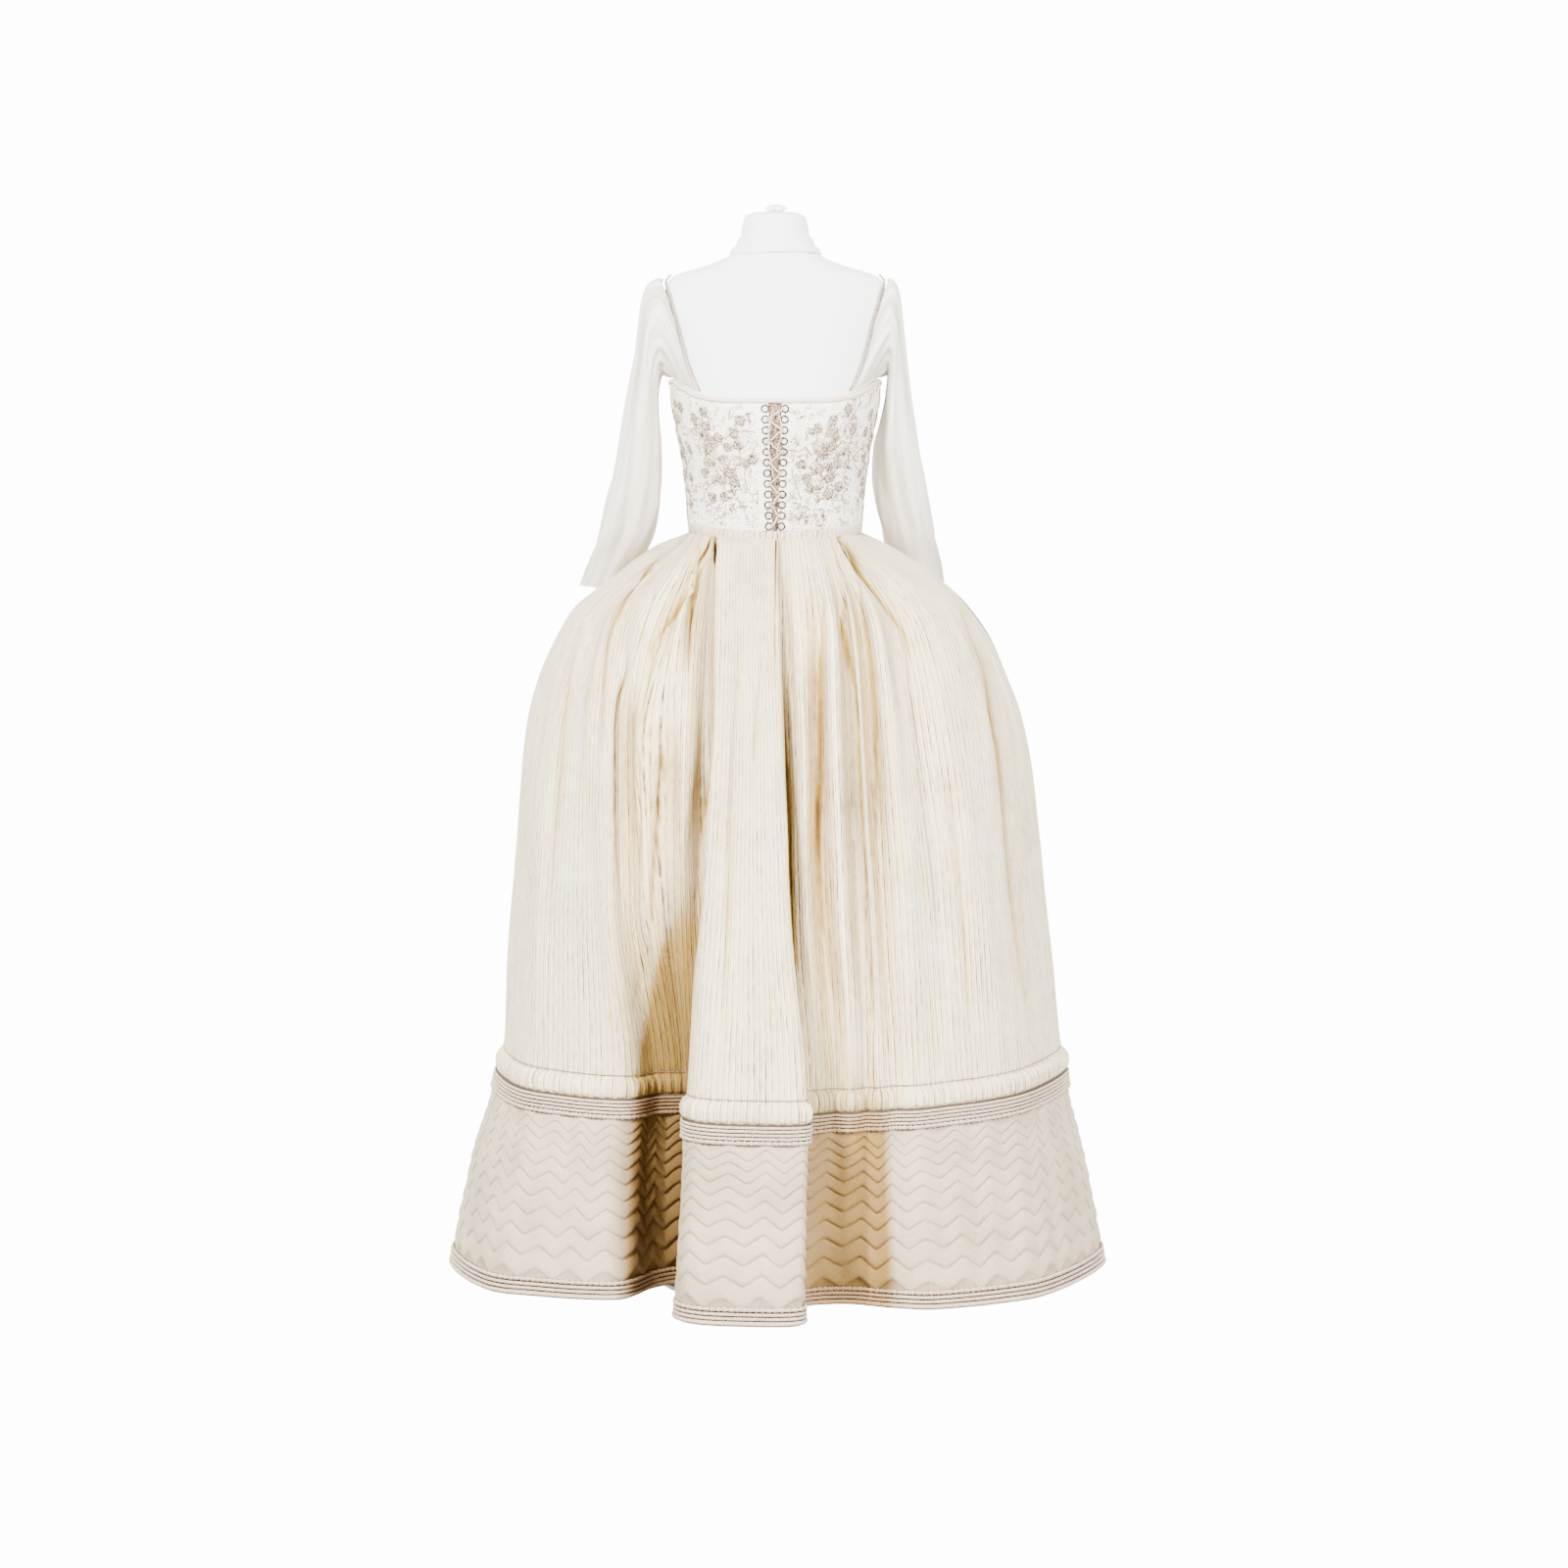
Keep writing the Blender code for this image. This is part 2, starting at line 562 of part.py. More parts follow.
def bodice_point(angle, share, out=BODICE_GAP):
    """A point of the bodice, share 0 at the waist and 1 at the top edge."""
    low = waist_z(form_point(angle, WAIST_FRONT).x, WAIST_HALF_WIDTH)
    return form_point(angle, low + (bodice_top(angle) - low) * share, out)


def lacing_edge(share):
    """Half the width of the opening at the centre front, wider at the top."""
    return LACING_GAP_AT_WAIST + (LACING_GAP_AT_TOP - LACING_GAP_AT_WAIST) * share


def panel_angles(first, last):
    return [a for a in np.arange(first, last + 0.01, 360.0 / FORM_COLUMNS)]


def bodice_panel(name, angles, finish=EMBROIDERED):
    """A panel between two seams, with the seam gap taken off each end."""
    grid = []
    for row in range(BODICE_ROWS):
        share = 1 - row / (BODICE_ROWS - 1)
        line = [bodice_point(angle, share) for angle in angles]
        line[0] = line[0] + (line[1] - line[0]).normalized() * SEAM / 2
        line[-1] = line[-1] + (line[-2] - line[-1]).normalized() * SEAM / 2
        grid.append(line)
    return cloth(name, grid, finish, BODICE_CLOTH, outward=True)


def bodice_front(name, side):
    """A front from the lacing edge to the side-front seam."""
    spread = [a for a in panel_angles(0.0, FRONT_SEAM_ANGLE) if a > 8]
    grid = []
    for row in range(BODICE_ROWS):
        share = 1 - row / (BODICE_ROWS - 1)
        z = bodice_point(0.0, share).z
        start = form_angle_at(lacing_edge(share), z)
        line = [bodice_point(angle, share) for angle in [start, *spread]]
        line[-1] = line[-1] + (line[-2] - line[-1]).normalized() * SEAM / 2
        if side < 0:
            line = [Vector((-point.x, point.y, point.z)) for point in reversed(line)]
        grid.append(line)
    return cloth(name, grid, EMBROIDERED, BODICE_CLOTH, outward=True)


def make_bodice():
    bodice_front("bodice_front_l", -1)
    bodice_front("bodice_front_r", 1)
    bodice_panel("bodice_side_r", panel_angles(FRONT_SEAM_ANGLE, SIDE_SEAM_ANGLE))
    bodice_panel("bodice_back", panel_angles(SIDE_SEAM_ANGLE, 360 - SIDE_SEAM_ANGLE))
    bodice_panel("bodice_side_l", panel_angles(-SIDE_SEAM_ANGLE, -FRONT_SEAM_ANGLE))


def make_lacing_panel():
    """The strip behind the lacing, between the form and the fronts."""
    grid = []
    for share in np.linspace(0.985, 0.015, BODICE_ROWS):
        z = bodice_point(0.0, share).z
        reach = form_angle_at(0.016, z)
        grid.append([form_point(angle, z, 0.0012) for angle in (-reach, 0.0, reach)])
    cloth("lacing_panel", grid, PALE_BINDING, 0.0010, outward=True)


def make_bodice_binding():
    """The narrow binding that rides on the bodice's top edge all round."""
    middle = BODICE_GAP + BODICE_CLOTH / 2
    points = []
    for angle in ring_angles():
        z = bodice_top(angle) + SEAM + BINDING_RADIUS
        points.append(form_point(angle, z, middle))
    tube("bodice_binding", points, BINDING_RADIUS, PALE_BINDING, cyclic=True, resolution=0)


def make_waistband():
    grid = []
    for drop in (SEAM + WAISTBAND_DROP, WAISTBAND_HEIGHT):
        line = []
        for angle in ring_angles():
            top = waist_z(form_point(angle, WAIST_FRONT).x, WAIST_HALF_WIDTH)
            line.append(form_point(angle, top - drop, WAISTBAND_OUT))
        grid.append(line)
    cloth("waistband", grid, IVORY_STRIPE, 0.0028, closed=True, outward=True)


def ring_share(row):
    """The share of the bodice's front height at which a row of rings lies."""
    height = bodice_top(0.0) - WAIST_FRONT
    low, high = RING_BOTTOM_MARGIN / height, 1 - RING_TOP_MARGIN / height
    return low + (high - low) * row / (RING_ROWS - 1)


def ring_seat(row, side, front):
    """Where a ring rests on a front: its centre and the way out of the cloth there."""
    share = ring_share(row)
    z = bodice_point(0.0, share).z
    angle = side * form_angle_at(lacing_edge(share) + RING_FROM_EDGE, z)
    seat, way, _, _ = front.find_nearest(form_point(angle, z, BODICE_GAP + BODICE_CLOTH))
    across = way.cross(Vector((0.0, 0.0, 1.0))).normalized()
    up = across.cross(way)
    lift = 0.0
    for turn in np.linspace(0.0, 2 * math.pi, 16, endpoint=False):
        rim = (across * math.cos(turn) + up * math.sin(turn)) * (RING_RADIUS + RING_WIRE)
        hit, _, _, _ = front.ray_cast(seat + rim + way * 0.01, -way)
        if hit:
            lift = max(lift, (hit - seat).dot(way))
    return seat + way * (lift + RING_WIRE + SEAM), way


def make_lacing():
    """Two rows of wire rings beside the opening, and a lace from side to side over them."""
    graph = bpy.context.evaluated_depsgraph_get()
    fronts = {side: BVHTree.FromObject(bpy.data.objects[f"bodice_front_{letter}"], graph)
              for side, letter in ((-1, "l"), (1, "r"))}
    for side, letter in ((-1, "l"), (1, "r")):
        for row in range(RING_ROWS):
            centre, way = ring_seat(row, side, fronts[side])
            bpy.ops.mesh.primitive_torus_add(
                major_radius=RING_RADIUS, minor_radius=RING_WIRE,
                major_segments=8, minor_segments=3,
                location=centre, rotation=way.to_track_quat("Z", "Y").to_euler(),
            )
            ring = bpy.context.object
            ring.name = f"lacing_ring_{letter}_{row + 1:02d}"
            ring.data.materials.append(make_material(RING_METAL))
            ring.data.shade_smooth()
    over = RING_WIRE + LACE_CLEARANCE + LACE_RADIUS
    points = []
    for row in range(RING_ROWS):
        side = -1 if row % 2 == 0 else 1
        centre, way = ring_seat(row, side, fronts[side])
        for turn in (-0.0015, 0.0015):
            points.append(centre + way * over + Vector((0.0, 0.0, turn)))
    tube("lace", points, LACE_RADIUS, PALE_BINDING, resolution=0)
    return points[-1]


def make_lace_tails(top):
    """Two tails hang free in front of the lace from its top crossing."""
    for letter, side, length in (("l", -1, 0.092), ("r", 1, 0.060)):
        points = []
        count = round(length / (TAIL_STEP * 2 * LACE_RADIUS)) + 1
        for fall in np.linspace(0.0, 1.0, count):
            x = side * (0.0030 + 0.0060 * math.sin(math.pi * min(1.0, fall * 1.1)))
            z = top.z - 0.0030 - fall * length
            point = form_point(math.copysign(form_angle_at(abs(x), z), x), z)
            points.append(point + Vector((0.0, -TAIL_OFF_FORM, 0.0)))
        tube(f"lace_tail_{letter}", points, LACE_RADIUS, PALE_BINDING)


def neckline_at(rows, share):
    """A place along a neckline, share 0 at the shoulder and 1 at the bodice."""
    knots = np.linspace(0.0, 1.0, len(rows))
    return (float(smooth(knots, column(rows, "angle"), share)),
            float(smooth(knots, column(rows, "z"), share)))


def off_form(angle, z, out):
    """A point off the form's surface, with its distance measured square to the surface."""
    return form_point(angle, z) + form_normal(angle, z) * out


def make_neck_cords():
    """A cord from the front of the bodice over the shoulder to its back, on each side."""
    for side, letter in ((-1, "l"), (1, "r")):
        places = [neckline_at(FRONT_NECKLINE, share) for share in np.linspace(1.0, 0.0, 8)]
        places += [neckline_at(BACK_NECKLINE, share) for share in np.linspace(0.0, 1.0, 8)[1:]]
        points = [off_form(side * angle, z, 0.0024 + NECK_CORD_RADIUS) for angle, z in places]
        tube(f"neckline_cord_{letter}", points, NECK_CORD_RADIUS, PALE_BINDING, resolution=0)


def sleeve_seam(turn, side):
    """The sleeve's seam on the form: turn 0 is the shoulder, 90 the front, 180 the underarm."""
    if turn < 90 or turn > 270:
        front = turn < 90
        share = turn / 90 if front else (360 - turn) / 90
        angle, z = neckline_at(FRONT_NECKLINE if front else BACK_NECKLINE, share)
        away = SLEEVE_FROM_CORD * math.sin(share * math.pi / 2)
        angle += away if front else -away
        z -= SLEEVE_BELOW_CORD * (1 - share) ** 2
    else:
        front = FRONT_NECKLINE[-1].angle + SLEEVE_FROM_CORD
        back = BACK_NECKLINE[-1].angle - SLEEVE_FROM_CORD
        angle = front + (back - front) * (turn - 90) / 180
        z = bodice_top(angle) + SLEEVE_OVER_BODICE
    shoulder = max(0.0, math.cos(math.radians(turn)))
    return off_form(side * angle, z, SLEEVE_OFF_FORM + 0.0016 * shoulder)


def make_sleeve(name, side, rings):
    """A sheer sleeve, cut in one with the shoulder up to the neckline cord."""
    turns = [360.0 * i / SLEEVE_COLUMNS for i in range(SLEEVE_COLUMNS)]
    grid = [[sleeve_seam(turn, side) for turn in turns]]
    for ring in rings:
        line = []
        outer = Vector((ring.outer_x, ring.mid_y, ring.outer_z))
        inner = Vector((ring.inner_x, ring.mid_y, ring.inner_z))
        for turn in turns:
            along, across = math.cos(math.radians(turn)), math.sin(math.radians(turn))
            point = (outer + inner) / 2 + (outer - inner) / 2 * along
            point.y -= ring.depth * across
            line.append(Vector((side * point.x, point.y, point.z)))
        grid.append(line)
    if side < 0:
        grid = [[line[0], *reversed(line[1:])] for line in grid]
    cloth(name, grid, SHEER_VOILE, SLEEVE_CLOTH, closed=True, outward=False)


@lru_cache(maxsize=None)
def skirt_plan(z):
    """The plan's half-widths, its depths and the rise at its sides, at a height."""
    heights = column(SKIRT_SECTIONS, "z")
    return [float(smooth(heights, column(SKIRT_SECTIONS, name), z))
            for name in ("left", "right", "front", "back", "side_rise")]


def plan_point(angle, z, out):
    """A point of the skirt's plan at an angle from the front, moved out along the plan's normal."""
    left, right, front, back, _ = skirt_plan(z)
    sine, cosine = math.sin(math.radians(angle)), math.cos(math.radians(angle))
    half_width = right if sine > 0 else left
    depth = front if cosine > 0 else back
    power = 2 / SKIRT_SQUARENESS
    point = Vector((half_width * signed_power(sine, power), -depth * signed_power(cosine, power)))
    slope = Vector((
        signed_power(sine, 2 - power) / half_width,
        -signed_power(cosine, 2 - power) / depth,
    ))
    return point + slope.normalized() * out


def level_value(levels, z):
    """A fold's millimetres at a height, as metres."""
    return float(smooth(LEVEL_Z, levels, z)) / 1000


@lru_cache(maxsize=None)
def fold_points(z):
    """The plan's control points at a height: left side, front folds, right side, back pleats."""
    left, right = skirt_plan(z)[:2]
    points = [plan_point(-90.0, z, 0.0)]
    for fold in FRONT_FOLDS:
        across = level_value(fold.across, z)
        half_width = right if across > 0 else left
        share = max(-0.985, min(0.985, across / half_width))
        angle = math.degrees(math.asin(signed_power(share, SKIRT_SQUARENESS / 2)))
        points.append(plan_point(angle, z, level_value(fold.out, z)))
    points.append(plan_point(90.0, z, 0.0))
    for i in range(1, BACK_LINES):
        share = i / BACK_LINES
        ease = math.sin(math.pi * share) ** 0.5
        pleat = level_value(BACK_PLEAT, z) * (1 if i % 2 == 0 else -1) * ease
        wave = level_value(BACK_WAVE, z) * -math.cos(2 * math.pi * BACK_WAVES * share) * ease
        points.append(plan_point(90 + 180 * share, z, pleat + wave))
    return points


FOLD_COUNT = 2 + len(FRONT_FOLDS) + BACK_LINES - 1
RIGHT_SIDE_LINE = 1 + len(FRONT_FOLDS)
CENTRE_BACK = RIGHT_SIDE_LINE + BACK_LINES / 2


def outline_point(controls, place):
    """A centripetal Catmull-Rom curve through the closed ring of control points."""
    i = int(math.floor(place)) % FOLD_COUNT
    share = place - math.floor(place)
    p0, p1, p2, p3 = (controls[(i + k) % FOLD_COUNT] for k in (-1, 0, 1, 2))
    t0 = 0.0
    t1 = t0 + math.sqrt((p1 - p0).length)
    t2 = t1 + math.sqrt((p2 - p1).length)
    t3 = t2 + math.sqrt((p3 - p2).length)
    t = t1 + (t2 - t1) * share
    a1 = p0 * ((t1 - t) / (t1 - t0)) + p1 * ((t - t0) / (t1 - t0))
    a2 = p1 * ((t2 - t) / (t2 - t1)) + p2 * ((t - t1) / (t2 - t1))
    a3 = p2 * ((t3 - t) / (t3 - t2)) + p3 * ((t - t2) / (t3 - t2))
    b1 = a1 * ((t2 - t) / (t2 - t0)) + a2 * ((t - t0) / (t2 - t0))
    b2 = a2 * ((t3 - t) / (t3 - t1)) + a3 * ((t - t1) / (t3 - t1))
    return b1 * ((t2 - t) / (t2 - t1)) + b2 * ((t - t1) / (t2 - t1))


def outline_normal(controls, place):
    step = 0.02
    along = outline_point(controls, place + step) - outline_point(controls, place - step)
    return Vector((along.y, -along.x)).normalized()


@lru_cache(maxsize=None)
def skirt_point(place, z, out=0.0):
    """A point of the skirt moved out. Its rows are a little higher at the sides."""
    controls = fold_points(z)
    point = outline_point(controls, place) + outline_normal(controls, place) * out
    left, right, _, _, side_rise = skirt_plan(z)
    half_width = right if point.x > 0 else left
    return Vector((point.x, point.y, z + side_rise * min(1.0, (point.x / half_width) ** 2)))


PANELS = {
    "front_l": (0.0, float(CENTRE_FRONT_LINE)),
    "front_r": (float(CENTRE_FRONT_LINE), float(RIGHT_SIDE_LINE)),
    "back_r": (float(RIGHT_SIDE_LINE), CENTRE_BACK),
    "back_l": (CENTRE_BACK, float(FOLD_COUNT)),
}


def trim_ends(line):
    """Half the seam gap off each end of a row of points."""
    trimmed = list(line)
    trimmed[0] = line[0] + (line[1] - line[0]).normalized() * SEAM / 2
    trimmed[-1] = line[-1] + (line[-2] - line[-1]).normalized() * SEAM / 2
    return trimmed


def skirt_places(first, last):
    """Two columns for each stretch between fold lines, so that folds stay round."""
    return [first + i / 2 for i in range(round((last - first) * 2) + 1)]


def seamed_row(places, z, out):
    """A panel's row whose seam points lie midway between their neighbours on either side."""
    row = [skirt_point(place, z, out) for place in places]
    before, after = (skirt_point(p, z, out) for p in (places[0] - 0.5, places[-1] + 0.5))
    row[0] = (before + row[1]) / 2
    row[-1] = (row[-2] + after) / 2
    return trim_ends(row)


def make_skirt():
    for name, (first, last) in PANELS.items():
        places = skirt_places(first, last)
        grid = [seamed_row(places, z, FRILL_PUFF.get(z, 0.0)) for z in SKIRT_ROWS]
        cloth(f"skirt_{name}", grid, IVORY_STRIPE, SKIRT_CLOTH)


def even_places(first, last, spacing):
    """Columns at even steps along the hem, an even number of them between two seams."""
    controls = fold_points(HEM)
    fine = np.linspace(first, last, 600)
    line = [outline_point(controls, p) for p in fine]
    lengths = np.concatenate([[0.0], np.cumsum([(b - a).length for a, b in zip(line, line[1:])])])
    count = 2 * max(1, round(lengths[-1] / spacing / 2))
    return [float(np.interp(lengths[-1] * i / count, lengths, fine)) for i in range(count + 1)]


@lru_cache(maxsize=None)
def flounce_columns():
    """The places of the flounce's columns all the way round, and each panel's first and last."""
    places, spans = [], {}
    for name, (first, last) in PANELS.items():
        start = len(places)
        places += even_places(first, last, FLOUNCE_COLUMN)[:-1]
        spans[name] = (start, len(places))
    return places, spans


@lru_cache(maxsize=None)
def flounce_ring(z):
    """The flounce's outline at a height: each column's point and the way out from it."""
    places, spans = flounce_columns()
    controls = fold_points(z)
    ring = [outline_point(controls, place) for place in places]
    count = len(ring)
    for start, _ in spans.values():
        ring[start] = (ring[start - 1] + ring[(start + 1) % count]) / 2
    columns = []
    for i, point in enumerate(ring):
        before = (point - ring[i - 1]).normalized()
        after = (ring[(i + 1) % count] - point).normalized()
        way = Vector((before.y + after.y, -before.x - after.x))
        columns.append((point, way / (1 + before.dot(after))))
    return columns


def flounce_point(index, z, out):
    """A point of the flounce moved out, with the same rise at the sides as the skirt."""
    ring = flounce_ring(z)
    point, way = ring[index % len(ring)]
    left, right, _, _, side_rise = skirt_plan(z)
    rise = side_rise * min(1.0, (point.x / (right if point.x > 0 else left)) ** 2)
    point = point + way * (out + flounce_out(z))
    return Vector((point.x, point.y, z + rise))


def flounce_out(z):
    """The flounce's top stands out to meet the frill above it."""
    share = max(0.0, (z - 0.235) / (FLOUNCE_TOP - 0.235))
    return FLOUNCE_TOP_OUT * min(1.0, share)


def quilt_heights():
    """Heights of the stitched lines, closer together near the top."""
    shares = [i / (QUILT_LINES - 1) for i in range(QUILT_LINES)]
    return [QUILT_TOP - (QUILT_TOP - QUILT_BOTTOM) * s * (0.55 + 0.45 * s) for s in shares]


def flounce_rows():
    """Rows of the flounce's outside: height, puff, and whether the row zigzags."""
    rows = [(FLOUNCE_TOP, 0.0, False), (SEAM_BRAID_BOTTOM, 0.0, False)]
    lines = quilt_heights()
    for upper, lower in zip(lines, lines[1:]):
        rows.append((upper, 0.0, True))
        rows.append(((upper + lower) / 2, QUILT_PUFF, True))
    rows.append((lines[-1], 0.0, True))
    rows += [(HEM_BRAID_TOP, 0.0, False), (HEM, 0.0, False)]
    return rows


def flounce_line(z, span, out, zigzag=0.0):
    """A row of the flounce, its columns going up and down by the zigzag in turn."""
    start, end = span
    return [flounce_point(i, z + (zigzag if (i - start) % 2 == 0 else -zigzag), out)
            for i in range(start, end + 1)]


def make_flounce():
    """Four quilted panels: the puffs are raised outside and the inside is plain."""
    for name, span in flounce_columns()[1].items():
        outer = [trim_ends(flounce_line(z, span, puff, QUILT_ZIGZAG if chevron else 0.0))
                 for z, puff, chevron in flounce_rows()]
        inner = [trim_ends(flounce_line(z, span, -FLOUNCE_CLOTH)) for z in FLOUNCE_INSIDE]
        solid_wall(f"flounce_{name}", outer, inner, QUILTED_LINEN)


def make_braid(name, top, bottom):
    """A band of cords laid on the flounce between two of its rows, all the way round."""
    span = (0, len(flounce_columns()[0]) - 1)
    grids = []
    for out in (BRAID_GAP + BRAID, BRAID_GAP):
        upper, lower = flounce_line(top, span, out), flounce_line(bottom, span, out)
        grids.append([[a.lerp(b, share) for a, b in zip(upper, lower)] for share in (0.04, 0.96)])
    solid_wall(name, grids[0], grids[1], BRAID_CORD, closed=True)


def main():
    clear_scene()
    make_stand()
    make_form()
    make_neck_wrap()
    make_top_knot()
    make_bodice()
    make_lacing_panel()
    make_bodice_binding()
    make_waistband()
    make_lace_tails(make_lacing())
    make_neck_cords()
    make_sleeve("sleeve_l", -1, SLEEVE_LEFT)
    make_sleeve("sleeve_r", 1, SLEEVE_RIGHT)
    make_skirt()
    make_flounce()
    make_braid("seam_braid", FLOUNCE_TOP, SEAM_BRAID_BOTTOM)
    make_braid("hem_braid", HEM_BRAID_TOP, HEM)


main()
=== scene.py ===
"""The finished look of the dress on its form. Units are metres, +Z is up and -Y is the front."""

import math
from collections import namedtuple

import bpy
import numpy as np
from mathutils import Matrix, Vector


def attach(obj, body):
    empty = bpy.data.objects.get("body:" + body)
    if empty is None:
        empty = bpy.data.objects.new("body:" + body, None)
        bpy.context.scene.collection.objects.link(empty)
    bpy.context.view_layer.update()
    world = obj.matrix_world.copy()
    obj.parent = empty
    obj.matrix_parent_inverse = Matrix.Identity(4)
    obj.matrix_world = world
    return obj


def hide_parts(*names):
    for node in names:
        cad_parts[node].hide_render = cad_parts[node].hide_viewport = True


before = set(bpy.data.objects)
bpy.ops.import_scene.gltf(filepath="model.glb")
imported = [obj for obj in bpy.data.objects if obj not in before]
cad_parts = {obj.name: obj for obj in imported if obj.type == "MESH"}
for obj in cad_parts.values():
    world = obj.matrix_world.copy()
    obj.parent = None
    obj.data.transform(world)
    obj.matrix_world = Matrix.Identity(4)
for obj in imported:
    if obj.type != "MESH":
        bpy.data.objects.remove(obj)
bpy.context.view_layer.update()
rng = np.random.default_rng(18)

# Camera: 5.5 m in front of the dress and a little above its waist, tilted down
CAMERA_DISTANCE = 5.5
CAMERA_HEIGHT = 1.219
CAMERA_TILT = math.asin(0.09202)
CAMERA_X = 0.0124
LENS_MM = 89.35
SENSOR_MM = 36.0

# Shared with the CAD part
SEAM = 0.0003
BODICE_GAP = 0.0032
BODICE_CLOTH = 0.0020
FORM_SQUARENESS = 2.2
SKIRT_SQUARENESS = 2.3
WAIST_FRONT = 1.0700
WAIST_SIDE_RISE = 0.0090
WAISTBAND_HEIGHT = 0.0120
WAIST_ROUND = 0.80
LACING_GAP_AT_WAIST = 0.0030
LACING_GAP_AT_TOP = 0.0090
RING_ROWS = 12
RING_RADIUS = 0.0048
RING_FROM_EDGE = 0.0046
RING_TOP_MARGIN = 0.0120
RING_BOTTOM_MARGIN = 0.0085
LACE_RADIUS = 0.0008
SLEEVE_FROM_CORD = 2.3
SLEEVE_BELOW_CORD = 0.0065
SLEEVE_OVER_BODICE = 0.0068
SLEEVE_OFF_FORM = 0.0046
FORM_TOP = 1.5160
SKIRT_TOP = WAIST_FRONT - WAISTBAND_HEIGHT - 2 * SEAM
FRILL_STITCH = 0.3200
FRILL_BOTTOM = 0.2925
FLOUNCE_TOP = FRILL_BOTTOM - SEAM
HEM = 0.0180


def table(name, columns, *rows):
    """Rows of values that are read by their columns' names."""
    row_type = namedtuple(name, columns)
    return [row_type(*row) for row in rows]


FORM_SECTIONS = table(
    "FormSection", "z half_width front back mid_y",
    (0.8850, 0.1300, 0.082, 0.088, 0.000),
    (0.9600, 0.1400, 0.094, 0.104, 0.000),
    (1.0350, 0.1170, 0.088, 0.078, 0.000),
    (1.0560, 0.1145, 0.085, 0.071, 0.000),
    (1.0750, 0.1180, 0.090, 0.076, 0.000),
    (1.1200, 0.1205, 0.094, 0.076, 0.000),
    (1.1700, 0.1270, 0.105, 0.080, 0.000),
    (1.2150, 0.1350, 0.115, 0.084, 0.000),
    (1.2550, 0.1420, 0.114, 0.087, 0.000),
    (1.3000, 0.1450, 0.102, 0.090, 0.000),
    (1.3500, 0.1500, 0.084, 0.090, 0.002),
    (1.3900, 0.1550, 0.066, 0.082, 0.004),
    (1.4120, 0.1540, 0.056, 0.070, 0.006),
    (1.4260, 0.1430, 0.050, 0.060, 0.008),
    (1.4400, 0.1000, 0.048, 0.054, 0.010),
    (1.4540, 0.0660, 0.048, 0.050, 0.010),
    (1.4640, 0.0572, 0.047, 0.0485, 0.010),
    (1.4750, 0.0500, 0.046, 0.047, 0.010),
    (1.5000, 0.0455, 0.043, 0.043, 0.010),
    (1.5105, 0.0410, 0.039, 0.039, 0.010),
    (1.5145, 0.0310, 0.030, 0.030, 0.010),
)
BODICE_TOP = table(
    "TopEdge", "angle z",
    (0, 1.2525),
    (25, 1.2530),
    (45, 1.2590),
    (60, 1.2700),
    (75, 1.2800),
    (90, 1.2780),
    (120, 1.2800),
    (150, 1.2900),
    (180, 1.2940),
)
FRONT_NECKLINE = table(
    "NeckPoint", "angle z",
    (90.0, 1.4250),
    (70.0, 1.4030),
    (62.5, 1.3750),
    (58.0, 1.3400),
    (53.0, 1.3050),
    (44.0, 1.2650),
)
BACK_NECKLINE = table(
    "NeckPoint", "angle z",
    (90.0, 1.4250),
    (108.0, 1.4050),
    (117.0, 1.3750),
    (124.0, 1.3400),
    (132.0, 1.3100),
    (139.0, 1.2935),
)
SLEEVE_COLUMNS = "outer_x outer_z inner_x inner_z mid_y depth"
SLEEVE_LEFT = table(
    "SleeveRing", SLEEVE_COLUMNS,
    (0.1650, 1.4220, 0.1585, 1.2880, 0.004, 0.0620),
    (0.1790, 1.4130, 0.1610, 1.2840, 0.004, 0.0600),
    (0.1870, 1.3920, 0.1625, 1.2780, 0.005, 0.0570),
    (0.1920, 1.3580, 0.1635, 1.2680, 0.006, 0.0530),
    (0.1970, 1.3200, 0.1640, 1.2540, 0.009, 0.0490),
    (0.2085, 1.2580, 0.1625, 1.2250, 0.015, 0.0440),
    (0.2185, 1.2000, 0.1605, 1.1850, 0.023, 0.0400),
    (0.2290, 1.1520, 0.1605, 1.1480, 0.032, 0.0380),
    (0.2395, 1.1160, 0.1630, 1.1160, 0.043, 0.0360),
    (0.2500, 1.0700, 0.1740, 1.0700, 0.072, 0.0340),
    (0.2660, 1.0280, 0.1940, 1.0260, 0.108, 0.0320),
    (0.2835, 0.9870, 0.2150, 0.9780, 0.145, 0.0310),
)
SLEEVE_RIGHT = table(
    "SleeveRing", SLEEVE_COLUMNS,
    (0.1620, 1.4220, 0.1575, 1.2880, 0.004, 0.0620),
    (0.1700, 1.4130, 0.1590, 1.2840, 0.004, 0.0600),
    (0.1755, 1.3920, 0.1585, 1.2760, 0.006, 0.0570),
    (0.1800, 1.3580, 0.1565, 1.2640, 0.009, 0.0530),
    (0.1850, 1.3200, 0.1540, 1.2480, 0.014, 0.0490),
    (0.1930, 1.2580, 0.1480, 1.2200, 0.022, 0.0440),
    (0.2025, 1.2000, 0.1410, 1.1850, 0.032, 0.0400),
    (0.2110, 1.1510, 0.1400, 1.1480, 0.042, 0.0380),
    (0.2180, 1.1100, 0.1440, 1.1100, 0.056, 0.0360),
    (0.2280, 1.0650, 0.1530, 1.0650, 0.086, 0.0340),
    (0.2370, 1.0200, 0.1640, 1.0180, 0.125, 0.0320),
    (0.2430, 0.9780, 0.1720, 0.9720, 0.160, 0.0310),
)
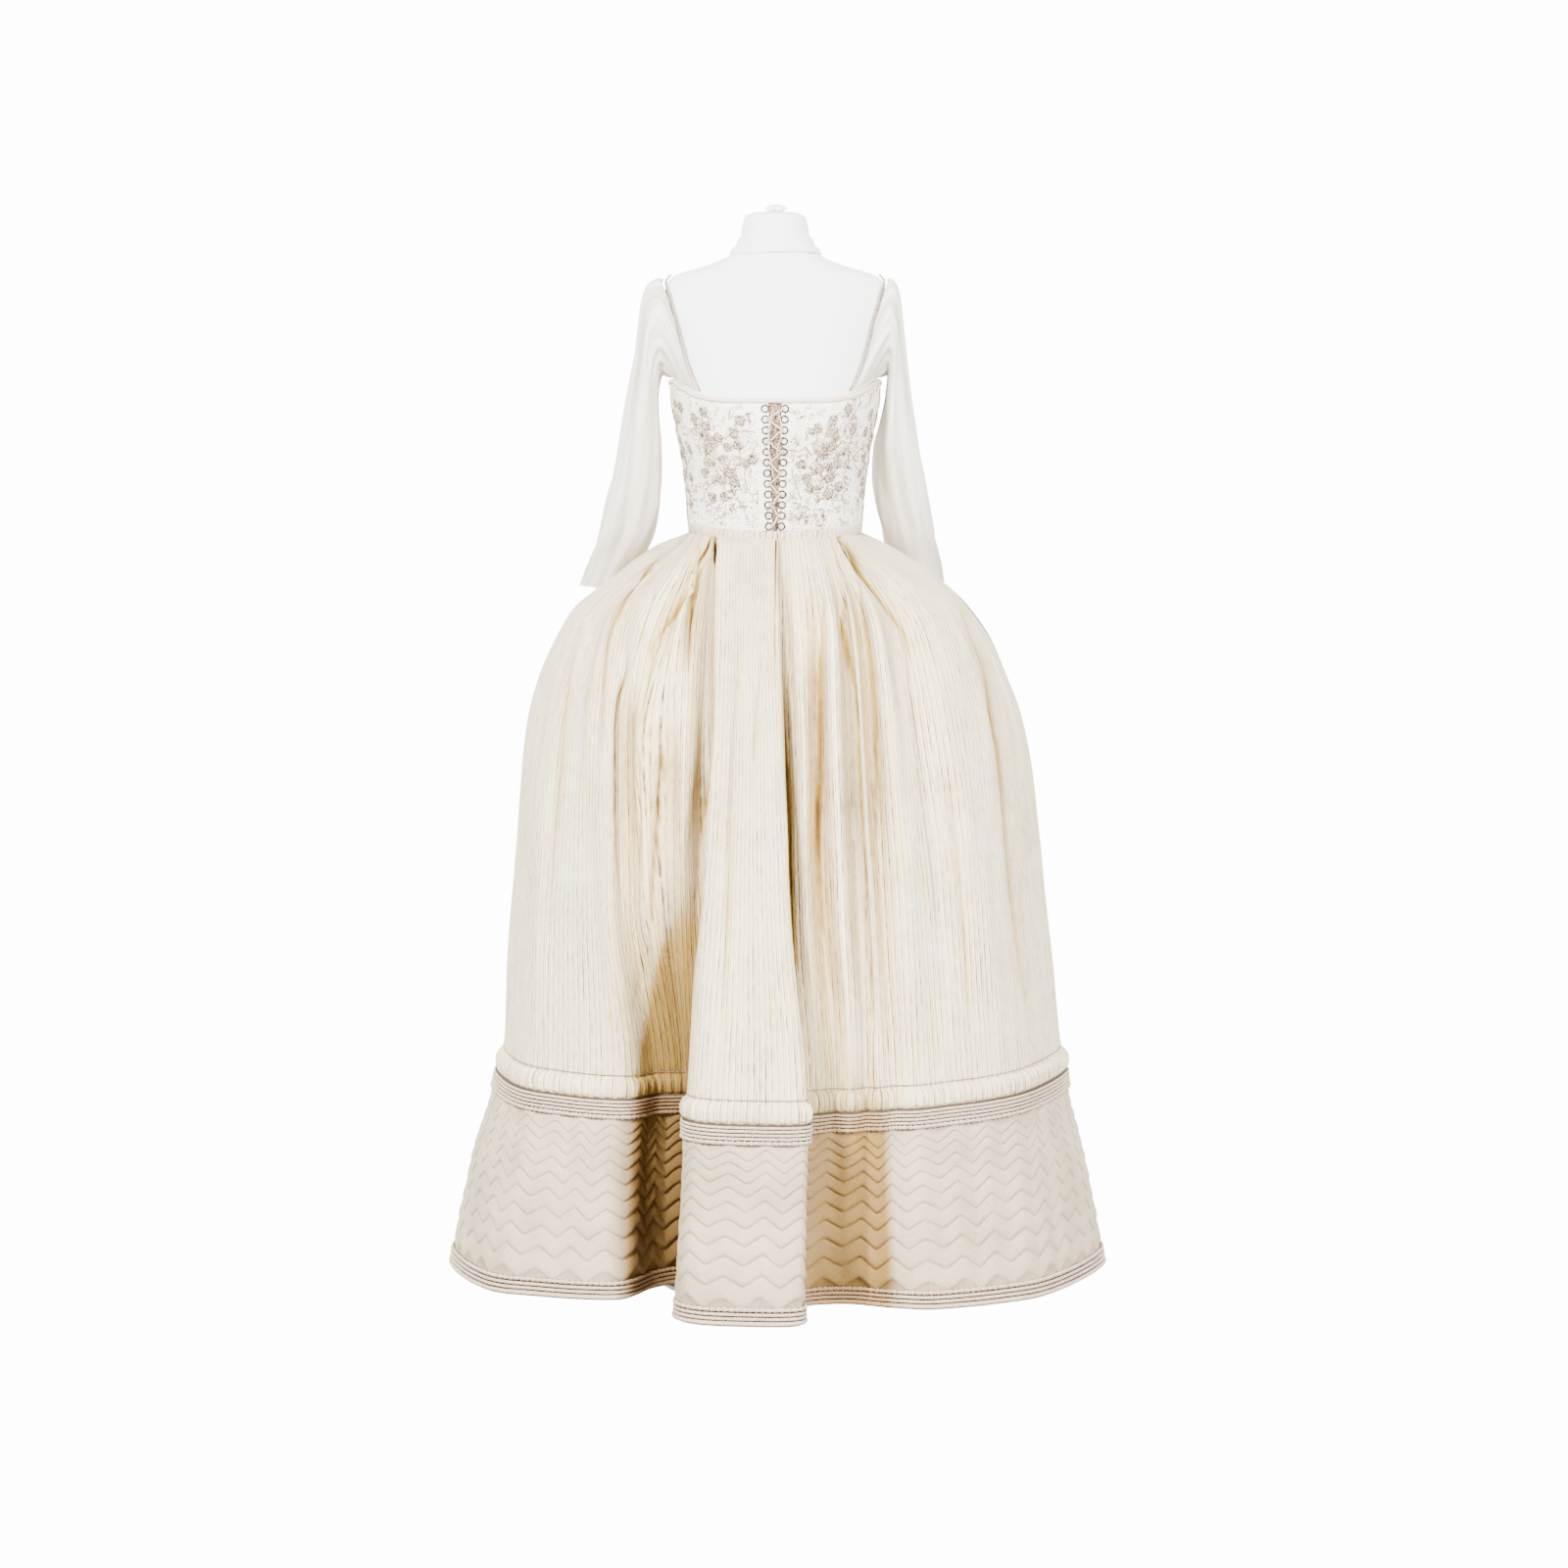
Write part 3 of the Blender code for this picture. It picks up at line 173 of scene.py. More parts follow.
SKIRT_SECTIONS = table(
    "SkirtSection", "z left right front back side_rise",
    (0.0180, 0.4630, 0.4690, 0.310, 0.335, 0.000),
    (0.0610, 0.4560, 0.4620, 0.307, 0.332, 0.002),
    (0.1280, 0.4410, 0.4490, 0.303, 0.326, 0.006),
    (0.1880, 0.4265, 0.4350, 0.299, 0.320, 0.010),
    (0.2640, 0.4000, 0.4150, 0.294, 0.312, 0.013),
    (0.3200, 0.3880, 0.4080, 0.290, 0.305, 0.013),
    (0.4520, 0.3810, 0.3940, 0.272, 0.288, 0.013),
    (0.5440, 0.3740, 0.3835, 0.259, 0.276, 0.013),
    (0.6350, 0.3660, 0.3750, 0.243, 0.262, 0.013),
    (0.7145, 0.3600, 0.3650, 0.228, 0.249, 0.013),
    (0.7940, 0.3490, 0.3490, 0.209, 0.231, 0.013),
    (0.8520, 0.3330, 0.3270, 0.193, 0.213, 0.013),
    (0.9065, 0.3090, 0.3030, 0.172, 0.191, 0.013),
    (0.9490, 0.2840, 0.2740, 0.153, 0.168, 0.012),
    (0.9750, 0.2530, 0.2490, 0.141, 0.152, 0.012),
    (0.9950, 0.2260, 0.2230, 0.131, 0.137, 0.012),
    (1.0400, 0.1650, 0.1580, 0.112, 0.104, 0.010),
    (1.0574, 0.1235, 0.1235, 0.0955, 0.0815, 0.009),
)
# The folds' values run over these heights: hem, seam, knee, thigh, hip and waist
LEVEL_Z = (HEM, FRILL_STITCH, 0.5650, 0.7850, 0.9350, 1.0574)
FRONT_FOLDS = table(
    "FrontFold", "name across out",
    ("left_flank", (-400, -348, -336, -314, -266, -123), (-8, -4, 0, 0, 0, 0)),
    ("left_soft_dip", (-345, -306, -297, -283, -246, -121), (-26, -20, -10, -7, -7, -1.2)),
    ("left_lobe", (-279, -263, -256, -254, -232, -119), (-40, -34, -8, 0, 2, 1)),
    ("left_lobe_edge", (-228, -222, -229, -226, -215, -114), (-58, -56, -6, 2, -11, -1.8)),
    ("valley_left_side", (-206, -202, -210, -210, -182, -109), (-132, -104, -34, -26, 4, 1)),
    ("valley_ridge_one", (-178, -173, -183, -190, -149, -105), (-166, -118, -26, -4, -12, -2.4)),
    ("valley_floor", (-160, -154, -151, -149, -132, -100), (-172, -124, -46, -24, 3, 1)),
    ("valley_ridge_two", (-140, -137, -131, -124, -116, -95), (-158, -112, -42, -8, -11, -2.4)),
    ("under_panel_left", (-120, -106, -101, -100, -97, -89), (-100, -76, -54, -28, -15, -3)),
    ("panel_left_edge", (-127, -109, -101, -90, -86, -84), (40, 54, 28, 15, 10, 2)),
    ("panel_left", (-103, -86, -75, -66, -63, -62), (68, 82, 48, 24, 12, 2)),
    ("panel_middle", (-46, -34, -34, -34, -36, -36), (80, 92, 54, 27, 13, 2)),
    ("panel_right_edge", (32, 38, 20, 11, 4, 3), (74, 88, 50, 24, 11, 2)),
    ("centre_front_seam", (26, 30, 13, 8, 7, 7), (-20, 26, -20, -28, -14, -2.4)),
    ("right_fold_one", (52, 58, 43, 38, 32, 24), (-46, 10, 6, 5, 4, 2)),
    ("right_gap_one", (78, 80, 64, 57, 58, 42), (-52, 0, -20, -22, -10, -1.8)),
    ("right_fold_two", (102, 102, 90, 82, 78, 54), (-52, 10, 8, 5, 4, 2)),
    ("right_gap_two", (125, 123, 116, 106, 97, 68), (-44, 0, -18, -22, -11, -1.8)),
    ("right_fold_three", (146, 141, 131, 119, 108, 75), (-30, 6, 4, 3, 3, 1)),
    ("right_gap_three", (172, 160, 148, 134, 121, 81), (-16, 0, -14, -20, -11, -1.8)),
    ("right_fold_four", (207, 186, 176, 158, 142, 87), (0, 8, 6, 5, 6, 2)),
    ("right_crease", (252, 231, 218, 190, 166, 94), (2, 2, -7, -10, -14, -1.8)),
    ("right_panel", (310, 286, 272, 248, 211, 104), (0, 2, 2, 3, 3, 1)),
    ("right_flank_dip", (372, 344, 324, 305, 262, 112), (-4, -5, -10, -11, -6, -1.2)),
)
BACK_LINES = 13
BACK_WAVES = 3
BACK_PLEAT = (0, 4, 9, 10, 7, 1.5)
BACK_WAVE = (26, 20, 12, 5, 0, 0)
FOLD_COUNT = 2 + len(FRONT_FOLDS) + BACK_LINES - 1
CENTRE_FRONT_LINE = 1 + [fold.name for fold in FRONT_FOLDS].index("centre_front_seam")
RIGHT_SIDE_LINE = 1 + len(FRONT_FOLDS)
CENTRE_BACK = RIGHT_SIDE_LINE + BACK_LINES / 2
PANELS = {
    "front_l": (0.0, float(CENTRE_FRONT_LINE)),
    "front_r": (float(CENTRE_FRONT_LINE), float(RIGHT_SIDE_LINE)),
    "back_r": (float(RIGHT_SIDE_LINE), CENTRE_BACK),
    "back_l": (CENTRE_BACK, float(FOLD_COUNT)),
}


def smooth(knots, values, at):
    """A monotone cubic curve through (knots, values), read at one place or an array of them."""
    knots = np.asarray(knots, float)
    values = np.asarray(values, float)
    step = np.diff(knots)
    slope = np.diff(values) / step
    tangent = np.zeros_like(values)
    tangent[0], tangent[-1] = slope[0], slope[-1]
    for i in range(1, len(knots) - 1):
        if slope[i - 1] * slope[i] > 0:
            before, after = 2 * step[i] + step[i - 1], step[i] + 2 * step[i - 1]
            tangent[i] = (before + after) / (before / slope[i - 1] + after / slope[i])
    at = np.clip(np.asarray(at, float), knots[0], knots[-1])
    i = np.clip(np.searchsorted(knots, at) - 1, 0, len(knots) - 2)
    t = (at - knots[i]) / step[i]
    return (
        values[i] * (2 * t**3 - 3 * t**2 + 1)
        + tangent[i] * step[i] * (t**3 - 2 * t**2 + t)
        + values[i + 1] * (3 * t**2 - 2 * t**3)
        + tangent[i + 1] * step[i] * (t**3 - t**2)
    )


def signed_power(value, power):
    return np.sign(value) * np.abs(value) ** power


def column(rows, name):
    return [getattr(row, name) for row in rows]


def read(rows, name, z):
    return smooth(column(rows, "z"), column(rows, name), z)


def form_points(angle, z, out=0.0):
    """Points of the form's surface for arrays of angles (degrees) and heights, moved out level."""
    angle, z = np.broadcast_arrays(np.asarray(angle, float), np.asarray(z, float))
    sine, cosine = np.sin(np.radians(angle)), np.cos(np.radians(angle))
    depth = np.where(cosine > 0, read(FORM_SECTIONS, "front", z), read(FORM_SECTIONS, "back", z))
    power = 2 / FORM_SQUARENESS
    return np.stack([
        (read(FORM_SECTIONS, "half_width", z) + out) * signed_power(sine, power),
        read(FORM_SECTIONS, "mid_y", z) - (depth + out) * signed_power(cosine, power),
        z + 0.0 * sine,
    ], axis=-1)


def form_normals(angle, z):
    along = form_points(np.asarray(angle) + 1, z) - form_points(np.asarray(angle) - 1, z)
    up = form_points(angle, np.asarray(z) + 0.004) - form_points(angle, np.asarray(z) - 0.004)
    normal = np.cross(along, up)
    return normal / np.linalg.norm(normal, axis=-1, keepdims=True)


def form_angle_at(x, z):
    """The angle on the front where the form's surface lies x from the middle."""
    return np.degrees(np.arcsin(signed_power(x / read(FORM_SECTIONS, "half_width", z),
                                             FORM_SQUARENESS / 2)))


def bodice_top(angle):
    folded = np.abs((np.asarray(angle, float) + 180) % 360 - 180)
    return smooth(column(BODICE_TOP, "angle"), column(BODICE_TOP, "z"), folded)


def waist_at(angle):
    x = form_points(angle, WAIST_FRONT)[..., 0]
    return WAIST_FRONT + WAIST_SIDE_RISE * np.minimum(1.0, (x / 0.118) ** 2)


def bodice_points(angle, share, out=0.0):
    """Points on the bodice's outer face, share 0 at the waist and 1 at the top edge."""
    low = waist_at(angle)
    z = low + (bodice_top(angle) - low) * share
    return form_points(angle, z, BODICE_GAP + BODICE_CLOTH * 0.9 + out)


def lacing_edge(share):
    return LACING_GAP_AT_WAIST + (LACING_GAP_AT_TOP - LACING_GAP_AT_WAIST) * share


def lengths_along(points):
    """How far along a line of points each of them is."""
    return np.concatenate([[0.0], np.cumsum(np.linalg.norm(np.diff(points, axis=0), axis=1))])


def full_turn(count, whole=2 * np.pi):
    """Even steps round a whole turn, its end left out."""
    return np.linspace(0, whole, count, endpoint=False)


def link(obj):
    bpy.context.scene.collection.objects.link(obj)
    return obj


def new_mesh(name, points, faces, material):
    mesh = bpy.data.meshes.new(name)
    mesh.from_pydata(np.asarray(points).tolist(), [], faces)
    mesh.shade_smooth()
    mesh.materials.append(material)
    return mesh


def grid_object(name, points, material, uv=None, closed=False, thickness=0.0, painted_shade=None):
    """A smooth surface from an array of points (rows, columns, 3), top row first."""
    rows, columns = points.shape[:2]
    index = np.arange(rows * columns).reshape(rows, columns)
    if closed:
        index = np.concatenate([index, index[:, :1]], axis=1)
    quads = np.stack([index[:-1, :-1], index[1:, :-1], index[1:, 1:], index[:-1, 1:]], axis=-1)
    quads = quads.reshape(-1, 4)
    mesh = new_mesh(name, points.reshape(-1, 3), quads.tolist(), material)
    if uv is not None:
        if closed:
            uv = np.concatenate([uv, uv[:, -1:] + (uv[:, -1:] - uv[:, -2:-1])], axis=1)
            flat = np.arange(rows * (columns + 1)).reshape(rows, columns + 1)
            corners = np.stack([flat[:-1, :-1], flat[1:, :-1], flat[1:, 1:], flat[:-1, 1:]], axis=-1)
        else:
            corners = quads
        values = uv.reshape(-1, 2)[np.asarray(corners).reshape(-1)]
        layer = mesh.uv_layers.new(name="UVMap")
        layer.data.foreach_set("uv", values.astype(np.float32).reshape(-1))
    # Painted shade: a value per point that the cloth's material darkens its colour by, in folds, valleys
    # and creases
    if painted_shade is not None:
        values = mesh.attributes.new("painted_shade", "FLOAT", "POINT")
        values.data.foreach_set("value", painted_shade.astype(np.float32).reshape(-1))
    obj = link(bpy.data.objects.new(name, mesh))
    if thickness:
        wall = obj.modifiers.new("cloth", "SOLIDIFY")
        wall.thickness = thickness
        wall.offset = -1.0
    return obj


def mesh_object(name, points, faces, material):
    return link(bpy.data.objects.new(name, new_mesh(name, points, faces, material)))


def frames_along(points, closed):
    """Unit tangents along a line of points."""
    points = np.asarray(points)
    if closed:
        along = np.roll(points, -1, axis=0) - np.roll(points, 1, axis=0)
    else:
        along = np.gradient(points, axis=0)
    return along / np.linalg.norm(along, axis=1, keepdims=True)


def cord_geometry(points, out, radius, sides=8, closed=False, pitch=0.0, strands=2, depth=0.0,
                  flat=1.0):
    """A round or twisted cord along points. Out is the way its section's first axis faces."""
    points = np.asarray(points, float)
    tangent = frames_along(points, closed)
    out = out - tangent * np.sum(out * tangent, axis=1, keepdims=True)
    out = out / np.linalg.norm(out, axis=1, keepdims=True)
    side = np.cross(tangent, out)
    length = lengths_along(points)
    turn = full_turn(sides)
    phase = 2 * np.pi * length / pitch if pitch else 0 * length
    swell = 1 + depth * np.cos(strands * (turn[None, :] - phase[:, None]))
    ring = (out[:, None, :] * (flat * np.cos(turn))[None, :, None]
            + side[:, None, :] * np.sin(turn)[None, :, None])
    verts = points[:, None, :] + ring * (np.reshape(radius, (-1, 1)) * swell)[:, :, None]
    count = len(points)
    index = np.arange(count * sides).reshape(count, sides)
    rows = np.concatenate([index, index[:1]]) if closed else index
    rows = np.concatenate([rows, rows[:, :1]], axis=1)
    quads = np.stack([rows[:-1, :-1], rows[:-1, 1:], rows[1:, 1:], rows[1:, :-1]], axis=-1)
    faces = quads.reshape(-1, 4).tolist()
    if not closed:
        faces.append(index[0][::-1].tolist())
        faces.append(index[-1].tolist())
    return verts.reshape(-1, 3), faces


def joined(name, parts, material):
    """One object from several (points, faces) pairs."""
    points, faces, start = [], [], 0
    for verts, polygons in parts:
        points.append(np.asarray(verts))
        faces += [[i + start for i in polygon] for polygon in polygons]
        start += len(verts)
    return mesh_object(name, np.concatenate(points), faces, material)


def skirt_plan(z):
    return [read(SKIRT_SECTIONS, name, z) for name in ("left", "right", "front", "back")]


def plan_point(angle, plan, out):
    left, right, front, back = plan
    sine, cosine = math.sin(math.radians(angle)), math.cos(math.radians(angle))
    half_width = right if sine > 0 else left
    depth = front if cosine > 0 else back
    power = 2 / SKIRT_SQUARENESS
    point = np.array([half_width * signed_power(sine, power), -depth * signed_power(cosine, power)])
    slope = np.array([signed_power(sine, 2 - power) / half_width,
                      -signed_power(cosine, 2 - power) / depth])
    return point + slope / np.linalg.norm(slope) * out


def fold_controls(z):
    """The plan's control points at a height, as in the CAD part."""
    plan = skirt_plan(z)
    controls = [plan_point(-90.0, plan, 0.0)]
    for fold in FRONT_FOLDS:
        across = float(smooth(LEVEL_Z, fold.across, z)) / 1000
        half_width = plan[1] if across > 0 else plan[0]
        share = max(-0.985, min(0.985, across / half_width))
        angle = math.degrees(math.asin(signed_power(share, SKIRT_SQUARENESS / 2)))
        controls.append(plan_point(angle, plan, float(smooth(LEVEL_Z, fold.out, z)) / 1000))
    controls.append(plan_point(90.0, plan, 0.0))
    for i in range(1, BACK_LINES):
        share = i / BACK_LINES
        ease = math.sin(math.pi * share) ** 0.5
        pleat = float(smooth(LEVEL_Z, BACK_PLEAT, z)) / 1000 * (1 if i % 2 == 0 else -1) * ease
        wave = float(smooth(LEVEL_Z, BACK_WAVE, z)) / 1000
        wave *= -math.cos(2 * math.pi * BACK_WAVES * share) * ease
        controls.append(plan_point(90 + 180 * share, plan, pleat + wave))
    return np.array(controls)


def outline(z, places):
    """The skirt's outline at a height: points (columns, 2) by a centripetal Catmull-Rom curve."""
    controls = fold_controls(z)
    base = np.floor(places).astype(int)
    share = (places - base)[:, None]
    p0, p1, p2, p3 = (controls[(base + k) % FOLD_COUNT] for k in (-1, 0, 1, 2))
    gap = [np.sqrt(np.linalg.norm(b - a, axis=1))[:, None] for a, b in ((p0, p1), (p1, p2), (p2, p3))]
    t0 = 0.0
    t1 = gap[0]
    t2 = t1 + gap[1]
    t3 = t2 + gap[2]
    t = t1 + (t2 - t1) * share
    a1 = p0 * ((t1 - t) / (t1 - t0)) + p1 * ((t - t0) / (t1 - t0))
    a2 = p1 * ((t2 - t) / (t2 - t1)) + p2 * ((t - t1) / (t2 - t1))
    a3 = p2 * ((t3 - t) / (t3 - t2)) + p3 * ((t - t2) / (t3 - t2))
    b1 = a1 * ((t2 - t) / (t2 - t0)) + a2 * ((t - t0) / (t2 - t0))
    b2 = a2 * ((t3 - t) / (t3 - t1)) + a3 * ((t - t1) / (t3 - t1))
    return b1 * ((t2 - t) / (t2 - t1)) + b2 * ((t - t1) / (t2 - t1))


def outline_with_normals(z, places):
    points = outline(z, places)
    step = 0.02
    along = outline(z, places + step) - outline(z, places - step)
    normal = np.stack([along[:, 1], -along[:, 0]], axis=1)
    return points, normal / np.linalg.norm(normal, axis=1, keepdims=True)


def lifted(points, z):
    """Level points of a skirt row with their height, which rises a little at the sides."""
    half_width = np.where(points[:, 0] > 0, read(SKIRT_SECTIONS, "right", z),
                          read(SKIRT_SECTIONS, "left", z))
    rise = read(SKIRT_SECTIONS, "side_rise", z) * np.minimum(1.0, (points[:, 0] / half_width) ** 2)
    return np.column_stack([points, z + rise])


CREASE_COLUMNS = "name before after z x depth_mm"
FRONT_CREASES = table(
    "Crease", CREASE_COLUMNS,
    ("left_of_panel", 9, 3, (1.062, 1.02, 0.95, 0.87, 0.80, 0.70, 0.58, 0.48),
           (-83, -87, -88, -88, -90, -96, -103, -111), (3, 8, 10, 10, 10, 8, 5, 0)),
    ("left_long", 12, 3, (1.046, 1.008, 0.978, 0.946, 0.915, 0.872, 0.835, 0.74),
           (-94, -113, -130, -145, -163, -173, -183, -190), (3, 8, 10, 9, 7, 5, 3, 0)),
    ("left_outer", 12, 4, (1.042, 0.993, 0.956, 0.926, 0.898, 0.835, 0.74),
           (-158, -194, -214, -227, -233, -240, -244), (3, 6, 7, 7, 6, 4, 0)),
    ("left_short", 7, 3, (1.000, 0.975, 0.935, 0.900), (-165, -172, -184, -194), (0, 4, 6, 0)),
    ("left_deep", 3, 8, (0.905, 0.86, 0.80, 0.70, 0.617, 0.53),
           (-207, -211, -214, -214, -211, -206), (0, 8, 13, 12, 7, 0)),
    ("left_middle", 4, 9, (0.85, 0.78, 0.70, 0.617, 0.56, 0.475, 0.38),
           (-149, -152, -157, -163, -168, -183, -200), (0, 6, 9, 8, 6, 4, 0)),
    ("left_second", 4, 7, (0.88, 0.81, 0.74, 0.66, 0.56), (-180, -184, -186, -188, -190),
           (0, 5, 7, 5, 0)),
    ("left_gap", 6, 3, (1.04, 1.00, 0.95, 0.90, 0.855), (-90, -106, -112, -115, -120),
           (2, 9, 11, 8, 0)),
    ("panel_furrow", 8, 10, (0.95, 0.84, 0.76, 0.59, 0.45, 0.35),
           (-49, -55, -61, -66, -69, -71), (0, 3, 4, 4, 2, 0)),
    ("panel_short", 5, 4, (0.92, 0.86, 0.80, 0.75, 0.68), (-17, -22, -29, -31, -33),
           (0, 3, 5, 3, 0)),
    ("seam_slit", 2, 2, (1.064, 1.00, 0.92, 0.84), (2, 2, 2, 3), (3, 4, 4, 0)),
    ("seam_second", 2.5, 2.5, (1.02, 0.97, 0.91, 0.85), (7, 12, 17, 22), (0, 3, 4, 3)),
    ("right_one", 4, 7, (1.02, 0.96, 0.91, 0.86, 0.69, 0.56, 0.46, 0.36),
           (68, 63, 60, 58, 58, 63, 73, 76), (0, 4, 7, 10, 10, 7, 5, 0)),
    ("right_two", 5, 4, (1.06, 0.966, 0.91, 0.835, 0.757, 0.664, 0.574, 0.448, 0.38),
           (90, 93, 98, 105, 108, 113, 119, 128, 134), (2, 7, 9, 10, 10, 9, 8, 5, 0)),
    ("right_three", 4, 7, (1.045, 0.973, 0.91, 0.847, 0.757, 0.66, 0.58),
           (107, 116, 125, 130, 135, 140, 144), (2, 6, 8, 9, 8, 4, 0)),
    ("right_long", 3, 13, (1.066, 1.046, 1.015, 0.986, 0.95, 0.926, 0.872, 0.745, 0.588, 0.42),
           (86, 104, 121, 141, 164, 177, 184, 199, 218, 229), (3, 9, 11, 9, 8, 6, 5, 4, 3, 0)),
    ("right_side", 9, 16, (0.98, 0.93, 0.872, 0.822, 0.745, 0.673, 0.56, 0.46, 0.36),
           (255, 273, 296, 304, 316, 321, 331, 344, 360), (0, 4, 5, 6, 6, 5, 4, 3, 0)),
    ("right_soft", 10, 8, (0.80, 0.70, 0.56, 0.44, 0.35), (232, 242, 256, 266, 272),
           (0, 3, 4, 3, 0)),
    ("left_flank", 12, 9, (0.95, 0.86, 0.74, 0.60, 0.48), (-268, -287, -300, -310, -318),
           (0, 3, 4, 3, 0)),
)
BACK_CREASES = table(
    "Crease", CREASE_COLUMNS,
    ("back_one", 5, 11, (1.05, 0.98, 0.90, 0.78, 0.62), (-112, -150, -196, -222, -236),
           (3, 8, 8, 6, 0)),
    ("back_two", 9, 4, (1.05, 0.97, 0.86, 0.70, 0.52), (-84, -108, -136, -158, -171),
           (3, 8, 10, 8, 0)),
    ("back_three", 5, 9, (1.04, 0.94, 0.80, 0.64, 0.44), (-49, -62, -80, -92, -101),
           (2, 6, 9, 8, 0)),
    ("back_four", 8, 4, (1.05, 0.96, 0.84, 0.66), (-16, -22, -27, -34), (3, 7, 7, 0)),
    ("back_five", 4, 8, (1.05, 0.92, 0.78, 0.60, 0.42), (21, 28, 37, 46, 52),
           (2, 7, 10, 7, 0)),
    ("back_six", 9, 4, (1.04, 0.97, 0.88, 0.74, 0.58), (58, 78, 98, 117, 130),
           (3, 7, 8, 7, 0)),
    ("back_seven", 4, 10, (1.05, 0.98, 0.88, 0.72, 0.50), (92, 124, 163, 190, 209),
           (3, 9, 9, 7, 0)),
    ("back_eight", 12, 6, (1.03, 0.96, 0.86, 0.70), (124, 178, 236, 262), (2, 6, 6, 0)),
)


# Painted shadow only: thin near-black lines at the tops of the waist pleats, where the pleats open. They
# darken the cloth's colour and do not draw the cloth in.
SLIT_SHADOWS = table(
    "Crease", CREASE_COLUMNS,
    ("left_slit", 1.6, 1.6, (1.068, 1.052, 1.035, 1.018), (-84, -87, -89, -89), (2, 4, 4, 0)),
    ("left_slit_two", 1.6, 1.6, (1.066, 1.050, 1.036, 1.020), (-89, -94, -99, -104), (0, 4, 3, 0)),
    ("centre_slit", 1.4, 1.4, (1.068, 1.050, 1.030, 0.990, 0.95), (2, 2, 2, 2, 3), (4, 4, 3, 2, 0)),
    ("right_slit", 1.6, 1.6, (1.068, 1.052, 1.038, 1.020), (84, 91, 99, 110), (2, 4, 4, 0)),
    ("right_slit_two", 1.6, 1.6, (1.062, 1.048, 1.034), (92, 99, 108), (0, 4, 0)),
    ("left_outer_slit", 1.6, 1.6, (1.036, 1.015, 0.990, 0.965), (-163, -182, -200, -214),
           (0, 2, 2, 0)),
)


def crease_profile(points, crease, narrow):
    """How deep one crease is at a skirt's points, in millimetres."""
    x, z = points[..., 0] * 1000, points[..., 2]
    levels = crease.z[::-1]
    depth = smooth(levels, crease.depth_mm[::-1], z)
    depth = np.where((z <= crease.z[0] + 0.004) & (z >= crease.z[-1]), depth, 0.0)
    aside = x - smooth(levels, crease.x[::-1], z)
    width = np.where(aside < 0, crease.before, crease.after) * narrow
    return depth * np.exp(-np.abs(aside / width) ** 1.35)


def crease_out(points, creases):
    """How far the creases draw a skirt's points in."""
    return -sum(crease_profile(points, crease, 1.0) for crease in creases) / 1000


def crease_shade(points, creases, full_mm, narrow):
    """How strongly painted shade darkens the creases at a skirt's points, 0 to 1."""
    return np.max([crease_profile(points, crease, narrow) for crease in creases], axis=0) / full_mm


# Painted shade: golden shade bands in the widest valleys and the centre gap, given by place and height
PLACE_SHADES = table(
    "PlaceShade", "name z first last soft strength",
    ("left_valley", (0.66, 0.58, 0.50, 0.43, 0.36, 0.30, 0.02),
               (8.6, 7.4, 6.0, 5.0, 4.2, 3.85, 3.8), (9.95, 9.95, 9.95, 9.95, 9.95, 9.95, 9.9), 0.45,
               (0.0, 0.40, 0.66, 0.76, 0.84, 0.90, 0.93)),
    ("centre_gap", (0.98, 0.88, 0.80, 0.75, 0.60, 0.50, 0.42, 0.33),
               (13.5, 13.45, 13.4, 13.3, 13.2, 13.2, 13.3, 13.3),
               (14.3, 14.35, 14.4, 14.5, 14.6, 14.6, 14.4, 14.3), 0.25,
               (0.0, 0.25, 0.70, 1.0, 1.0, 0.7, 0.4, 0.25)),
    ("right_valley", (0.46, 0.37, 0.31, 0.26, 0.02), (14.0, 13.9, 13.8, 13.7, 13.7),
               (18.6, 19.0, 19.6, 19.8, 20.2), 0.5, (0.0, 0.12, 0.34, 0.56, 0.62)),
    ("right_valley_middle", (0.37, 0.31, 0.26, 0.02), (16.4, 16.4, 16.4, 16.4),
               (18.2, 18.6, 19.0, 19.3), 0.7, (0.0, 0.40, 0.68, 0.76)),
)
VALLEY_EDGE = {"left_valley": 0.45, "centre_gap": 0.15, "right_valley": 0.7, "right_valley_middle": 0.9}


def place_shade(z_rows, places):
    """The painted shade in the widest valleys, for rows of heights and one row of places."""
    z = np.asarray(z_rows, float)
    total = np.zeros((len(z), len(places)))
    for shade in PLACE_SHADES:
        levels = shade.z[::-1]
        first, last, strength = (np.interp(z, levels, values[::-1])[:, None]
                                 for values in (shade.first, shade.last, shade.strength))
        inside = np.clip((places - first) / shade.soft, 0, 1)
        inside = inside * np.clip((last - places) / VALLEY_EDGE[shade.name], 0, 1)
        toward = 0.72 + 0.28 * np.clip((places - first) / (last - first), 0, 1)
        total = np.maximum(total, strength * inside * toward * (z[:, None] < levels[-1]))
    return total


FINE_PLACES = np.linspace(0.0, FOLD_COUNT, 3800, endpoint=False)


def cloth_lengths(z):
    """How far round the cloth each of the fine places is at a height, and the whole way round."""
    points = outline(z, FINE_PLACES)
    return lengths_along(np.concatenate([points, points[:1]]))


HEM_LENGTHS = cloth_lengths(HEM)
KNEE_LENGTHS = cloth_lengths(0.36)
PLACE_KNOTS = np.append(FINE_PLACES, FOLD_COUNT)
HEM_ROUND = HEM_LENGTHS[-1]


def place_at_hem(length):
    return np.interp(length, HEM_LENGTHS, PLACE_KNOTS)


def hem_length_at(place):
    return np.interp(place, PLACE_KNOTS, HEM_LENGTHS)


def knee_length_at(place):
    return np.interp(place, PLACE_KNOTS, KNEE_LENGTHS)


HOLLOW_LEVELS = np.concatenate([np.linspace(HEM, 0.34, 9), np.linspace(0.42, SKIRT_TOP, 12)])
HOLLOW_STEP = 0.0045
HOLLOW_REACH = 80


